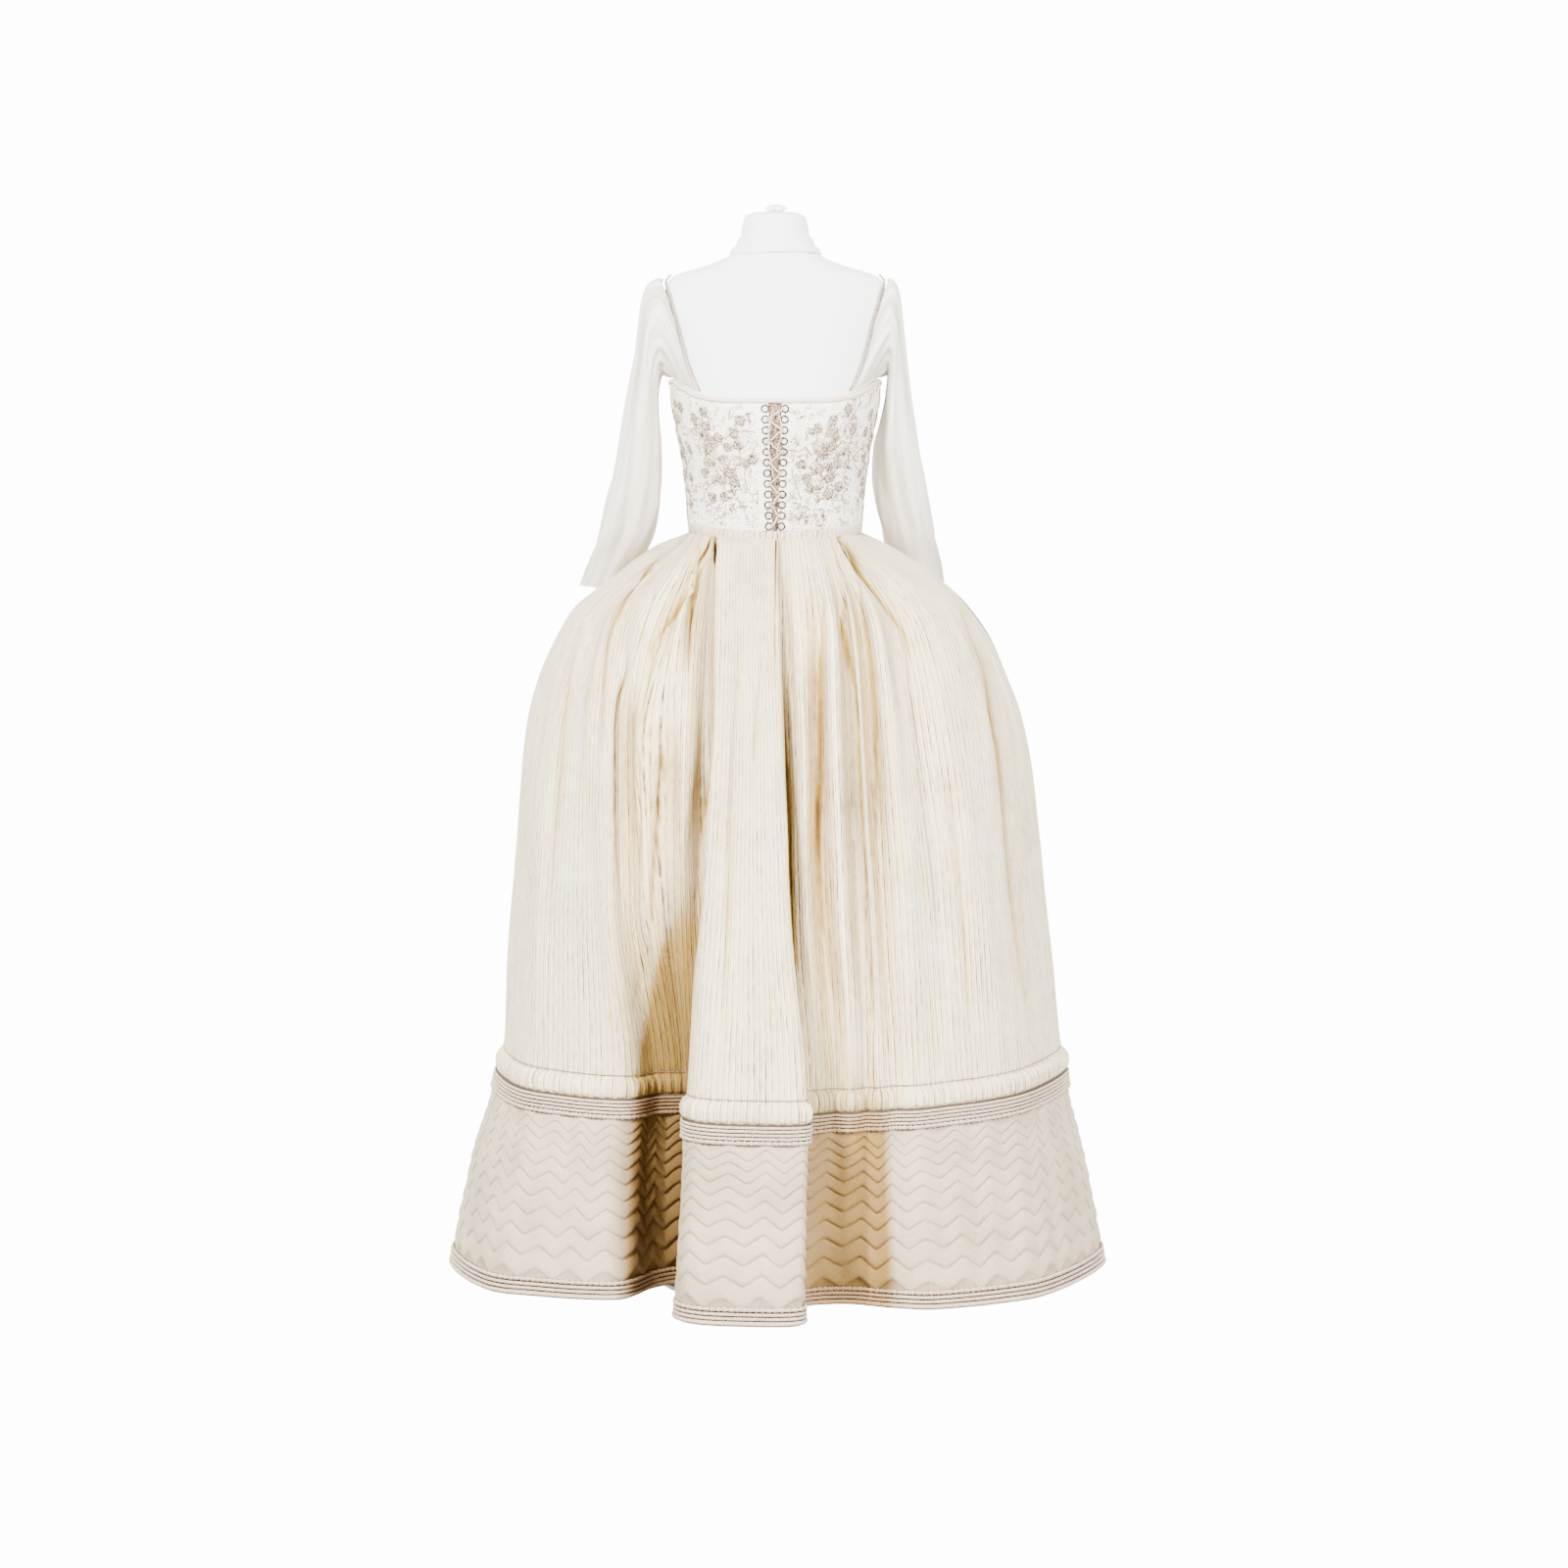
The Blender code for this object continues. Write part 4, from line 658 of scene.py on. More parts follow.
def hollow_at(z):
    """How far the folds close in round each fine place: 0 on an open ridge, near 1 in a valley."""
    lengths = cloth_lengths(z)
    even = np.interp(np.arange(0, lengths[-1], HOLLOW_STEP), lengths, PLACE_KNOTS)
    points = outline(z, even)
    centre = points.mean(axis=0)
    outward = points - centre
    outward[:, 0] /= read(SKIRT_SECTIONS, "left", z) ** 2
    outward[:, 1] /= read(SKIRT_SECTIONS, "front", z) ** 2
    outward /= np.linalg.norm(outward, axis=1, keepdims=True)
    total = np.zeros(len(points))
    for way in (-1, 1):
        highest = np.zeros(len(points))
        for k in range(1, HOLLOW_REACH):
            reach = np.roll(points, way * k, axis=0) - points
            up = np.sum(reach * outward, axis=1) / (np.linalg.norm(reach, axis=1) + 1e-9)
            highest = np.maximum(highest, up)
        total += highest / 2
    return np.interp(FINE_PLACES, even, total, period=FOLD_COUNT)


HOLLOWS = np.array([hollow_at(z) for z in HOLLOW_LEVELS])


def hollow_table(z_rows, places):
    """The folds' hollowness for rows of heights and one row of places."""
    at_places = np.array([np.interp(places, FINE_PLACES, row, period=FOLD_COUNT) for row in HOLLOWS])
    at = np.interp(z_rows, HOLLOW_LEVELS, np.arange(len(HOLLOW_LEVELS)))
    low = np.minimum(at.astype(int), len(HOLLOW_LEVELS) - 2)
    share = (at - low)[:, None]
    return at_places[low] * (1 - share) + at_places[low + 1] * share


# Materials

CLOTH_SHINE = 0.12
RIB = 0.0082
# Painted shade: the shade value that reaches the darkest stop of the golden shade ramp
DARKEST_PAINTED_SHADE = 1.5
# Painted shadow: the near-black colour of the slits at the tops of the waist pleats
SLIT_SHADOW_COLOR = (0.02, 0.012, 0.005)


def new_material(name, color, roughness, metallic=0.0, sheen=0.0):
    material = bpy.data.materials.new(name)
    material.use_nodes = True
    shader = material.node_tree.nodes["Principled BSDF"]
    shader.inputs["Base Color"].default_value = (*color, 1.0)
    shader.inputs["Roughness"].default_value = roughness
    shader.inputs["Metallic"].default_value = metallic
    if sheen:
        shader.inputs["Sheen Weight"].default_value = sheen
    if not metallic:
        shader.inputs["Specular IOR Level"].default_value = CLOTH_SHINE
    return material


class Value:
    """A shader socket that arithmetic works on."""

    def __init__(self, nodes, socket):
        self.nodes = nodes
        self.socket = socket

    def math(self, operation, *others, clamp=False):
        node = self.nodes.add("ShaderNodeMath", operation=operation, use_clamp=clamp)
        for value, target in zip((self, *others), node.inputs):
            self.nodes.put(value, target)
        return Value(self.nodes, node.outputs[0])

    def __add__(self, other):
        return self.math("ADD", other)

    def __sub__(self, other):
        return self.math("SUBTRACT", other)

    def __mul__(self, other):
        return self.math("MULTIPLY", other)

    def __pow__(self, other):
        return self.math("POWER", other)

    def __abs__(self):
        return self.math("ABSOLUTE")

    def clamped(self):
        return self.math("ADD", 0.0, clamp=True)

    def wave(self, period, phase=0.0):
        return self.math("MULTIPLY_ADD", 2 * math.pi / period, phase).math("SINE")


class Nodes:
    """Short ways to add and join a material's nodes."""

    def __init__(self, material):
        self.tree = material.node_tree
        self.shader = self.tree.nodes["Principled BSDF"]

    def add(self, kind, **settings):
        node = self.tree.nodes.new(kind)
        for name, value in settings.items():
            setattr(node, name, value)
        return node

    def put(self, value, target):
        """Join a value to an input, or set the input to a number."""
        if isinstance(value, Value):
            self.tree.links.new(value.socket, target)
        else:
            target.default_value = value

    def uv(self):
        """The cloth's own coordinates: both together, and each alone."""
        together = Value(self, self.add("ShaderNodeUVMap").outputs[0])
        split = self.add("ShaderNodeSeparateXYZ")
        self.put(together, split.inputs[0])
        return together, Value(self, split.outputs[0]), Value(self, split.outputs[1])

    def body_place(self):
        return Value(self, self.add("ShaderNodeTexCoord").outputs["Object"])

    def noise(self, vector, scale, detail=2.0):
        node = self.add("ShaderNodeTexNoise")
        self.put(vector, node.inputs["Vector"])
        self.put(scale, node.inputs["Scale"])
        self.put(detail, node.inputs["Detail"])
        return Value(self, node.outputs["Fac"])

    def threads(self, vector, across, along, detail):
        """Noise with its own scale across and along the cloth."""
        mapping = self.add("ShaderNodeMapping")
        self.put(vector, mapping.inputs[0])
        self.put((across, along, 1.0), mapping.inputs["Scale"])
        return self.noise(Value(self, mapping.outputs[0]), 1.0, detail)

    def ramp(self, value, *stops):
        node = self.add("ShaderNodeValToRGB")
        elements = node.color_ramp.elements
        while len(elements) < len(stops):
            elements.new(0.5)
        for element, (place, color) in zip(elements, stops):
            element.position = place
            element.color = (*color, 1.0)
        self.put(value, node.inputs[0])
        return Value(self, node.outputs[0])

    def multiplied(self, color, by):
        mix = self.add("ShaderNodeMix", data_type="RGBA", blend_type="MULTIPLY")
        self.put(1.0, mix.inputs[0])
        self.put(color, mix.inputs[6])
        self.put(by, mix.inputs[7])
        return Value(self, mix.outputs[2])

    def shaded(self, color, half, full):
        """The colour times a painted golden shade where the folds close in, darkest where the painted
        shade value is highest.
        """
        painted_shade = Value(self, self.add("ShaderNodeAttribute", attribute_name="painted_shade").outputs["Fac"])
        shade = self.ramp(painted_shade.math("DIVIDE", DARKEST_PAINTED_SHADE), (0.0, (1.0, 1.0, 1.0)), (0.333, half),
                          (0.667, full), (1.0, SLIT_SHADOW_COLOR))
        return self.multiplied(color, shade)

    def finish(self, color, height, strength, distance):
        self.put(color, self.shader.inputs["Base Color"])
        bump = self.add("ShaderNodeBump")
        self.put(strength, bump.inputs["Strength"])
        self.put(distance, bump.inputs["Distance"])
        self.put(height, bump.inputs["Height"])
        self.put(Value(self, bump.outputs[0]), self.shader.inputs["Normal"])


def ribbed_cotton():
    """Ivory cotton with fine woven stripes down the cloth, and painted golden shade in its folds' valleys.
    U and V are metres of cloth.
    """
    material = new_material("ivory_striped_cotton", (0.70, 0.61, 0.46), 0.85)
    nodes = Nodes(material)
    vector, u, v = nodes.uv()
    wandered = u + nodes.threads(vector, 40.0, 5.0, 1.0) * 0.004
    lines = abs(wandered.wave(2 * RIB)) ** 22.0 + abs(wandered.wave(2 * RIB, 1.9)) ** 40.0 * 0.6
    gaps = ((nodes.threads(vector, 260.0, 42.0, 4.0) - 0.30) * 3.0).clamped()
    weight = ((nodes.threads(vector, 60.0, 7.0, 1.0) - 0.22) * 2.4).clamped()
    slub = nodes.threads(vector, 900.0, 50.0, 3.0)
    pucker = nodes.threads(vector, 150.0, 230.0, 2.0)
    patch = nodes.noise(vector, 9.0)
    dark = lines * gaps * weight * 0.85 + (slub - 0.46) * 0.9 + (patch - 0.5) * 0.35
    color = nodes.ramp(dark, (0.0, (0.83, 0.745, 0.555)), (0.22, (0.62, 0.525, 0.355)),
                       (0.5, (0.33, 0.27, 0.19)), (0.85, (0.055, 0.048, 0.04)))
    bands = nodes.ramp(nodes.threads(vector, 95.0, 1.2, 1.0), (0.42, (1.0, 0.94, 0.78)),
                       (0.58, (0.97, 0.98, 1.0)))
    # Painted shade: golden-brown where the folds close in
    color = nodes.shaded(nodes.multiplied(color, bands), (0.50, 0.37, 0.15), (0.12, 0.065, 0.008))
    nodes.finish(color, lines * -0.9 + pucker * 1.3 + slub * 0.5, 0.9, 0.0013)
    return material


def quilted_cloth():
    """Plain padded cloth with a fine weave, and painted golden shade in its folds' valleys and along its
    quilting lines.
    """
    material = new_material("quilted_linen", (0.50, 0.43, 0.33), 0.9)
    nodes = Nodes(material)
    vector, u, v = nodes.uv()
    weave = u.wave(0.0011) * v.wave(0.0011)
    slub = nodes.threads(vector, 700.0, 180.0, 3.0)
    mix = slub * 0.5 + nodes.noise(vector, 12.0, 3.0) * 0.5
    color = nodes.ramp(mix, (0.3, (0.36, 0.275, 0.175)), (0.7, (0.58, 0.48, 0.345)))
    # Painted shade: golden-brown where the folds close in and along the quilting lines
    color = nodes.shaded(color, (0.50, 0.375, 0.17), (0.10, 0.048, 0.004))
    nodes.finish(color, weave * 0.3 + slub, 0.5, 0.0005)
    return material


def speckled(name, low, high, scale, roughness, bump=0.0004, stops=(0.3, 0.7), painted_fold_shade=False):
    """A cloth, cord or metal of mixed grain, with painted golden shade in the folds when asked."""
    material = new_material(name, high, roughness)
    nodes = Nodes(material)
    grain = nodes.noise(nodes.body_place(), scale, 3.0)
    color = nodes.ramp(grain, (stops[0], low), (stops[1], high))
    # Painted shade where the folds close in
    if painted_fold_shade:
        color = nodes.shaded(color, (0.66, 0.53, 0.36), (0.30, 0.20, 0.08))
    nodes.finish(color, grain, 0.5, bump)
    return material


def tangled_cloth():
    """Ivory cloth with thin, tangled brown lines."""
    material = new_material("embroidered_ivory", (0.90, 0.83, 0.72), 0.85)
    nodes = Nodes(material)
    vector = nodes.body_place()
    wide, narrow = (abs(nodes.noise(vector, scale, 1.5) - 0.5) * (90.0 / scale) for scale in (58.0, 96.0))
    near = wide.math("MINIMUM", narrow)
    grain = nodes.noise(vector, 420.0, 3.0)
    bare = nodes.noise(vector, 26.0).math("MULTIPLY_ADD", -1.0, 0.56, clamp=True)
    lines = near + (grain - 0.46) * 0.16 + bare * 0.8
    color = nodes.ramp(lines, (0.0, (0.15, 0.095, 0.06)), (0.022, (0.55, 0.44, 0.33)),
                       (0.045, (0.95, 0.87, 0.75)))
    nodes.finish(color, near.math("MINIMUM", 0.12) + grain * 0.06, 0.6, 0.006)
    return material


def sheer_cloth():
    """Thin voile: light passes between its threads."""
    material = new_material("sheer_voile", (0.82, 0.76, 0.66), 0.8, sheen=0.1)
    nodes = Nodes(material)
    vector, u, v = nodes.uv()
    weave = (nodes.threads(vector, 1400.0, 200.0, 2.0) + nodes.threads(vector, 200.0, 1400.0, 2.0)) * 0.5
    color = nodes.ramp(nodes.threads(vector, 26.0, 4.0, 2.0), (0.36, (0.56, 0.50, 0.42)),
                       (0.58, (0.82, 0.76, 0.67)))
    nodes.put(weave.math("MULTIPLY_ADD", 0.5, 0.68, clamp=True), nodes.shader.inputs["Alpha"])
    nodes.finish(color, weave, 0.3, 0.0003)
    return material


def ring_metal():
    material = new_material("ring_metal", (0.06, 0.05, 0.042), 0.42, metallic=0.4)
    nodes = Nodes(material)
    grain = nodes.noise(nodes.body_place(), 700.0)
    color = nodes.ramp(grain, (0.35, (0.010, 0.007, 0.005)), (0.65, (0.06, 0.048, 0.038)))
    nodes.finish(color, grain, 0.3, 0.0002)
    return material


COTTON = ribbed_cotton()
QUILTED = quilted_cloth()
BRAID = speckled("braid_cord", (0.24, 0.165, 0.11), (0.72, 0.59, 0.46), 620.0, 0.8, painted_fold_shade=True)
# Painted shadow: the near-black colour of the band behind the braids' cords
BRAID_PAINTED_SHADOW = speckled("braid_shadow_tape", (0.035, 0.022, 0.012), (0.10, 0.07, 0.045), 900.0, 0.9)
EMBROIDERED = tangled_cloth()
BINDING = speckled("pale_binding", (0.62, 0.46, 0.37), (0.78, 0.64, 0.55), 700.0, 0.6)
LACE = speckled("pale_lace", (0.20, 0.12, 0.08), (0.84, 0.68, 0.56), 1100.0, 0.6,
                stops=(0.36, 0.50))
STRIP = speckled("lacing_strip", (0.05, 0.03, 0.02), (0.42, 0.29, 0.21), 420.0, 0.7,
                 stops=(0.40, 0.60))
STRAP = speckled("neck_cord", (0.08, 0.05, 0.03), (0.56, 0.45, 0.35), 500.0, 0.7)
VOILE = sheer_cloth()
METAL = ring_metal()
COVER = speckled("form_cover", (0.80, 0.80, 0.79), (0.85, 0.85, 0.84), 1500.0, 0.9, bump=0.0001)
THREAD = new_material("stitch_thread", (0.26, 0.19, 0.12), 0.8)
MOTIF = speckled("leaf_thread", (0.22, 0.15, 0.10), (0.84, 0.74, 0.61), 420.0, 0.8,
                 stops=(0.36, 0.48))
MOTIF_DARK = speckled("disc_thread", (0.05, 0.032, 0.02), (0.54, 0.43, 0.325), 470.0, 0.8,
                      stops=(0.42, 0.56))
BEAD = speckled("seed_bead", (0.03, 0.02, 0.013), (0.26, 0.19, 0.13), 300.0, 0.5)
CURL = speckled("curling_thread", (0.04, 0.025, 0.016), (0.34, 0.24, 0.165), 300.0, 0.8,
                stops=(0.40, 0.60))
STAND = speckled("stand_metal", (0.40, 0.40, 0.40), (0.56, 0.56, 0.56), 300.0, 0.35, bump=0.0001)
STAND.node_tree.nodes["Principled BSDF"].inputs["Metallic"].default_value = 1.0


def place_on_body(obj, slot_name, *nodes):
    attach(obj, "root")
    if nodes:
        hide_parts(*nodes)
    return obj


# The camera comes first, then the free ends of the lace


def make_camera():
    data = bpy.data.cameras.new("camera")
    data.lens = LENS_MM
    data.sensor_width = SENSOR_MM
    camera = link(bpy.data.objects.new("camera", data))
    camera.location = (CAMERA_X, -CAMERA_DISTANCE, CAMERA_HEIGHT)
    camera.rotation_euler = (math.pi / 2 - CAMERA_TILT, 0.0, 0.0)
    bpy.context.scene.camera = camera


TAIL_OFF_FORM = 0.0103
LACE_TOP_Z = 1.2420


def tail_points(side, length, top_z, count=8):
    points = []
    for fall in np.linspace(0.0, 1.0, count):
        x = side * (0.0030 + 0.0060 * math.sin(math.pi * min(1.0, fall * 1.1)))
        z = top_z - 0.0030 - fall * length
        point = form_points(math.copysign(float(form_angle_at(abs(x), z)), x), z)
        points.append(point + np.array([0.0, -TAIL_OFF_FORM, 0.0]))
    return np.array(points)


def refined(points, count):
    """More points on a smooth line through a few."""
    points = np.asarray(points, float)
    knots = lengths_along(points)
    at = np.linspace(0, knots[-1], count)
    return np.column_stack([smooth(knots, points[:, k], at) for k in range(3)])


def make_lace_tails():
    for letter, side, length in (("l", -1, 0.092), ("r", 1, 0.060)):
        line = refined(tail_points(side, length, LACE_TOP_Z), 50)
        out = np.tile([0.0, -1.0, 0.0], (len(line), 1))
        verts, faces = cord_geometry(line, out, LACE_RADIUS, 8, pitch=0.004, depth=0.08)
        tail = mesh_object(f"lace_end_{letter}", verts, faces, LACE)
        place_on_body(tail, "pale_binding", f"lace_tail_{letter}")


# The dress form


def make_form():
    angles = full_turn(160, 360)
    z = np.concatenate([np.linspace(1.5145, 1.44, 26)[:-1], np.linspace(1.44, 1.38, 22)[:-1],
                        np.linspace(1.38, 0.885, 60)])
    points = form_points(angles[None, :], z[:, None])
    crown = []
    top = points[0]
    middle = np.array([0.0, 0.010, FORM_TOP])
    for share in (0.0, 0.2, 0.4, 0.6, 0.8):
        row = middle + (top - middle) * share
        row[:, 2] = 1.5145 + (FORM_TOP - 1.5145) * (1 - share**2)
        crown.append(row)
    points = np.concatenate([np.array(crown), points])
    place_on_body(grid_object("torso", points, COVER, closed=True), "form_cover", "form_torso")

    rows = []
    profile = [(1.4792, 0.0006), (1.4797, 0.0020), (1.4780, 0.0032), (1.4745, 0.0036),
               (1.4712, 0.0030), (1.4694, 0.0024), (1.4676, 0.0030), (1.4645, 0.0040),
               (1.4606, 0.0040), (1.4578, 0.0026), (1.4562, 0.0008)]
    turn = np.radians(angles)
    for z_row, out in profile:
        sway = 0.0014 * np.sin(turn + 0.6) + 0.0007 * np.sin(3 * turn)
        row = form_points(angles, z_row + 0 * angles, out + 0.0004 * np.sin(9 * turn))
        row[:, 2] += sway
        rows.append(row)
    wrap = grid_object("neck_wrap", np.array(rows), COVER, closed=True)
    place_on_body(wrap, "form_cover", "form_neck_wrap")

    rows = []
    for lat in np.linspace(math.pi / 2, -math.pi / 2, 14):
        pinch = 1 + 0.18 * np.cos(7 * turn + 0.6) * math.cos(lat)
        rows.append(np.column_stack([
            0.001 + 0.0140 * pinch * math.cos(lat) * np.cos(turn),
            0.010 + 0.0105 * pinch * math.cos(lat) * np.sin(turn),
            FORM_TOP + 0.0046 + 0.0046 * math.sin(lat) * (1 + 0.25 * np.cos(5 * turn)),
        ]))
    knot = grid_object("top_knot", np.array(rows), COVER, closed=True)
    place_on_body(knot, "form_cover", "form_top_knot")


# The bodice

FRONT_SEAM_ANGLE = 56.25
SIDE_SEAM_ANGLE = 101.25


def bodice_patch(name, angles, *nodes):
    """A smooth panel. Angles is (rows, columns), top row first."""
    rows = angles.shape[0]
    share = np.linspace(1.0, 0.0, rows)[:, None]
    points = bodice_points(angles, share)
    arc = np.concatenate([np.zeros((rows, 1)), np.cumsum(
        np.linalg.norm(np.diff(points, axis=1), axis=2), axis=1)], axis=1)
    uv = np.stack([arc, np.broadcast_to(share * 0.2, arc.shape)], axis=-1)
    panel = grid_object(name, points, EMBROIDERED, uv, thickness=0.0012)
    place_on_body(panel, "embroidered_ivory", *nodes)
    return panel


def make_bodice():
    rows, columns = 50, 60
    share = np.linspace(1.0, 0.0, rows)
    z = bodice_points(np.zeros(rows), share)[:, 2]
    start = np.array([float(form_angle_at(lacing_edge(s), h)) for s, h in zip(share, z)])
    right = start[:, None] + (FRONT_SEAM_ANGLE - start)[:, None] * np.linspace(0, 1, columns)[None, :]
    bodice_patch("front_panel_r", right, "bodice_front_r")
    bodice_patch("front_panel_l", -right[:, ::-1], "bodice_front_l")
    for name, first, last, node in (
        ("side_panel_r", FRONT_SEAM_ANGLE, SIDE_SEAM_ANGLE, "bodice_side_r"),
        ("back_panel", SIDE_SEAM_ANGLE, 360 - SIDE_SEAM_ANGLE, "bodice_back"),
        ("side_panel_l", -SIDE_SEAM_ANGLE, -FRONT_SEAM_ANGLE, "bodice_side_l"),
    ):
        count = max(20, int((last - first) * 0.9))
        bodice_patch(name, np.tile(np.linspace(first, last, count), (rows, 1)), node)
    share = np.linspace(0.985, 0.015, 30)
    z = bodice_points(0 * share, share)[:, 2]
    reach = np.array([float(form_angle_at(0.016, h)) for h in z])
    angles = reach[:, None] * np.linspace(-1, 1, 9)[None, :]
    strip = grid_object("lacing_strip", form_points(angles, z[:, None], 0.0022), STRIP,
                        thickness=0.0008)
    place_on_body(strip, "pale_binding", "lacing_panel")


EMBROIDERY = table(
    "Panel", "name first last sprigs curls specks",
    ("front_l", -54.5, -9.0, 6, 96, 760),
    ("front_r", 9.0, 54.5, 5, 120, 1300),
    ("side_l", -100.0, -58.0, 4, 44, 460),
    ("side_r", 58.0, 100.0, 4, 44, 500),
    ("back", 103.0, 257.0, 12, 96, 760),
)
DISC_RADIUS = 0.0076
DISC_HEIGHT = 0.0011
DISC_SIDES = 16
METRES_PER_DEGREE = 0.0021
BODICE_RISE = 0.185


def on_bodice(angle, share, across, up, out):
    """Points of the bodice at distances in metres from a place on it."""
    near = bodice_points(np.array([angle - 0.5, angle + 0.5]), share)
    per_degree = np.linalg.norm(near[1] - near[0])
    tall = float(bodice_top(angle)) - float(waist_at(angle))
    turned = angle + np.asarray(across) / per_degree
    return bodice_points(turned, np.clip(share + np.asarray(up) / tall, 0.012, 0.968), out)


def disc_part(angle, share):
    """A low, beaded disc with a slightly uneven rim."""
    turn = full_turn(DISC_SIDES)
    size = DISC_RADIUS * rng.uniform(0.86, 1.1)
    uneven = 1 + 0.05 * np.sin(3 * turn + rng.uniform(0, 6)) + 0.04 * np.cos(8 * turn)
    points = [on_bodice(angle, share, [0.0], [0.0], DISC_HEIGHT)]
    for reach, height in ((0.35, 0.75), (0.68, 1.05), (1.0, 0.1)):
        across, up = size * reach * uneven * np.cos(turn), size * reach * uneven * np.sin(turn)
        points.append(on_bodice(angle, share, across, up, DISC_HEIGHT * height))
    index = 1 + np.arange(3 * DISC_SIDES).reshape(3, DISC_SIDES)
    rings, after = index.tolist(), np.roll(index, -1, axis=1).tolist()
    faces = [(0, a, b) for a, b in zip(rings[0], after[0])]
    for k in (0, 1):
        faces += list(zip(rings[k], rings[k + 1], after[k + 1], after[k]))
    return np.concatenate(points), faces


def leaf_part(angle, share, across, up, heading, length):
    """A pointed leaf with a raised middle, from its stalk along its heading."""
    t = np.linspace(0.0, 1.0, 6)
    half = 0.24 * length * np.sin(np.pi * t**0.85)
    bend = 0.12 * length * np.sin(np.pi * t) * rng.choice([-1, 1])
    forward = np.array([math.cos(heading), math.sin(heading)])
    aside = np.array([-forward[1], forward[0]])
    points = []
    for side, height in ((-1, 0.0002), (0, 0.0010), (1, 0.0002)):
        flat = np.outer(t * length, forward) + np.outer(side * half + bend, aside)
        points.append(on_bodice(angle, share, across + flat[:, 0], up + flat[:, 1], height))
    faces = [(row * 6 + i, row * 6 + i + 1, row * 6 + i + 7, row * 6 + i + 6)
             for row in range(2) for i in range(5)]
    return np.concatenate(points), faces


def thread_part(angle, share, across, up, radius, sides=4):
    """A thread laid along offsets from a place on the bodice."""
    line = on_bodice(angle, share, across, up, 0.0004)
    out = np.tile(form_normals(angle, float(line[0, 2])), (len(line), 1))
    return cord_geometry(line, out, radius, sides)


def make_embroidery():
    """Generic sprigs, discs, curling threads and specks, scattered by a seeded generator."""
    discs, leaves, curls, specks = [], [], [], []
    for panel in EMBROIDERY:
        for k in range(panel.sprigs):
            angle = panel.first + (panel.last - panel.first) * (k + rng.uniform(0.25, 0.75)) / panel.sprigs
            share = 0.17 + 0.58 * ((k * 0.618 + rng.uniform(0, 0.12)) % 1.0)
            heading = rng.uniform(0.25, 0.75) * math.pi
            curve = rng.uniform(-26, 26)
            t = np.linspace(0.0, 0.046, 22)
            turn = heading + curve * t
            across, up = np.cumsum(np.cos(turn)) * t[1], np.cumsum(np.sin(turn)) * t[1]
            curls.append(thread_part(angle, share, across, up, 0.00055))
            for i, side in ((3, 1), (7, -1), (11, 1), (15, -1)):
                leaves.append(leaf_part(angle, share, across[i], up[i], turn[i] + side * 0.85,
                                        rng.uniform(0.013, 0.019)))
            for step, aside in ((21, 0.0), (13, 0.015), (5, -0.016)):
                way = turn[step] + math.pi / 2
                place = (across[step] + aside * math.cos(way), up[step] + aside * math.sin(way))
                centre = angle + place[0] / METRES_PER_DEGREE
                if panel.first + 1.5 < centre < panel.last - 1.5:
                    discs.append(disc_part(centre, min(0.90, max(0.08, share + place[1] / BODICE_RISE))))
        for _ in range(panel.sprigs):
            centre = rng.uniform(panel.first + 12, panel.last - 12)
            share, way = rng.uniform(0.14, 0.84), rng.uniform(0, math.pi)
            for step in (-0.5, 0.5):
                discs.append(disc_part(centre + step * math.cos(way) * 9.0,
                                       share + step * math.sin(way) * 0.11))
        for _ in range(panel.curls):
            angle, share = rng.uniform(panel.first + 2, panel.last - 2), rng.uniform(0.05, 0.93)
            heading, wind = rng.uniform(0, 2 * math.pi), rng.uniform(-260, 260)
            t = np.linspace(0.0, rng.uniform(0.014, 0.034), 20)
            turn = heading + wind * t + 1.2 * np.sin(t * 420 + heading)
            across, up = np.cumsum(np.cos(turn)) * t[1], np.cumsum(np.sin(turn)) * t[1]
            limit = min(angle - panel.first, panel.last - angle) * METRES_PER_DEGREE
            across = np.clip(across, -limit, limit)
            curls.append(thread_part(angle, share, across, up, rng.uniform(0.00035, 0.0006)))
        for _ in range(panel.specks):
            edge = rng.beta(0.55, 0.75)
            angle = panel.first + (panel.last - panel.first) * (edge if panel.first > 0 else 1 - edge)
            share = rng.beta(0.8, 1.3) * 0.93 + 0.02
            centre = bodice_points(angle, share, 0.0003)
            size = rng.uniform(0.00035, 0.0008)
            points = [centre + size * np.array(way) for way in (
                (1, 0, 0), (-1, 0, 0), (0, 1, 0), (0, -1, 0), (0, 0, 1), (0, 0, -1))]
            specks.append((points, [(0, 2, 4), (2, 1, 4), (1, 3, 4), (3, 0, 4), (2, 0, 5), (1, 2, 5),
                                    (3, 1, 5), (0, 3, 5)]))
    for name, parts, material in (("disc_motifs", discs, MOTIF_DARK), ("leaf_motifs", leaves, MOTIF),
                                  ("curling_threads", curls, CURL), ("seed_beads", specks, BEAD)):
        place_on_body(joined(name, parts, material), "embroidered_ivory")


def make_binding():
    angles = full_turn(400, 360)
    rows = []
    z = bodice_top(angles)
    for out, rise in ((0.0020, -0.0040), (0.0032, -0.0042), (0.0036, -0.0020), (0.0034, 0.0006),
                      (0.0022, 0.0022), (0.0008, 0.0022), (-0.0004, 0.0006)):
        rows.append(form_points(angles, z + rise, BODICE_GAP + out))
    binding = grid_object("top_binding", np.array(rows)[::-1], BINDING, closed=True)
    place_on_body(binding, "pale_binding", "bodice_binding")


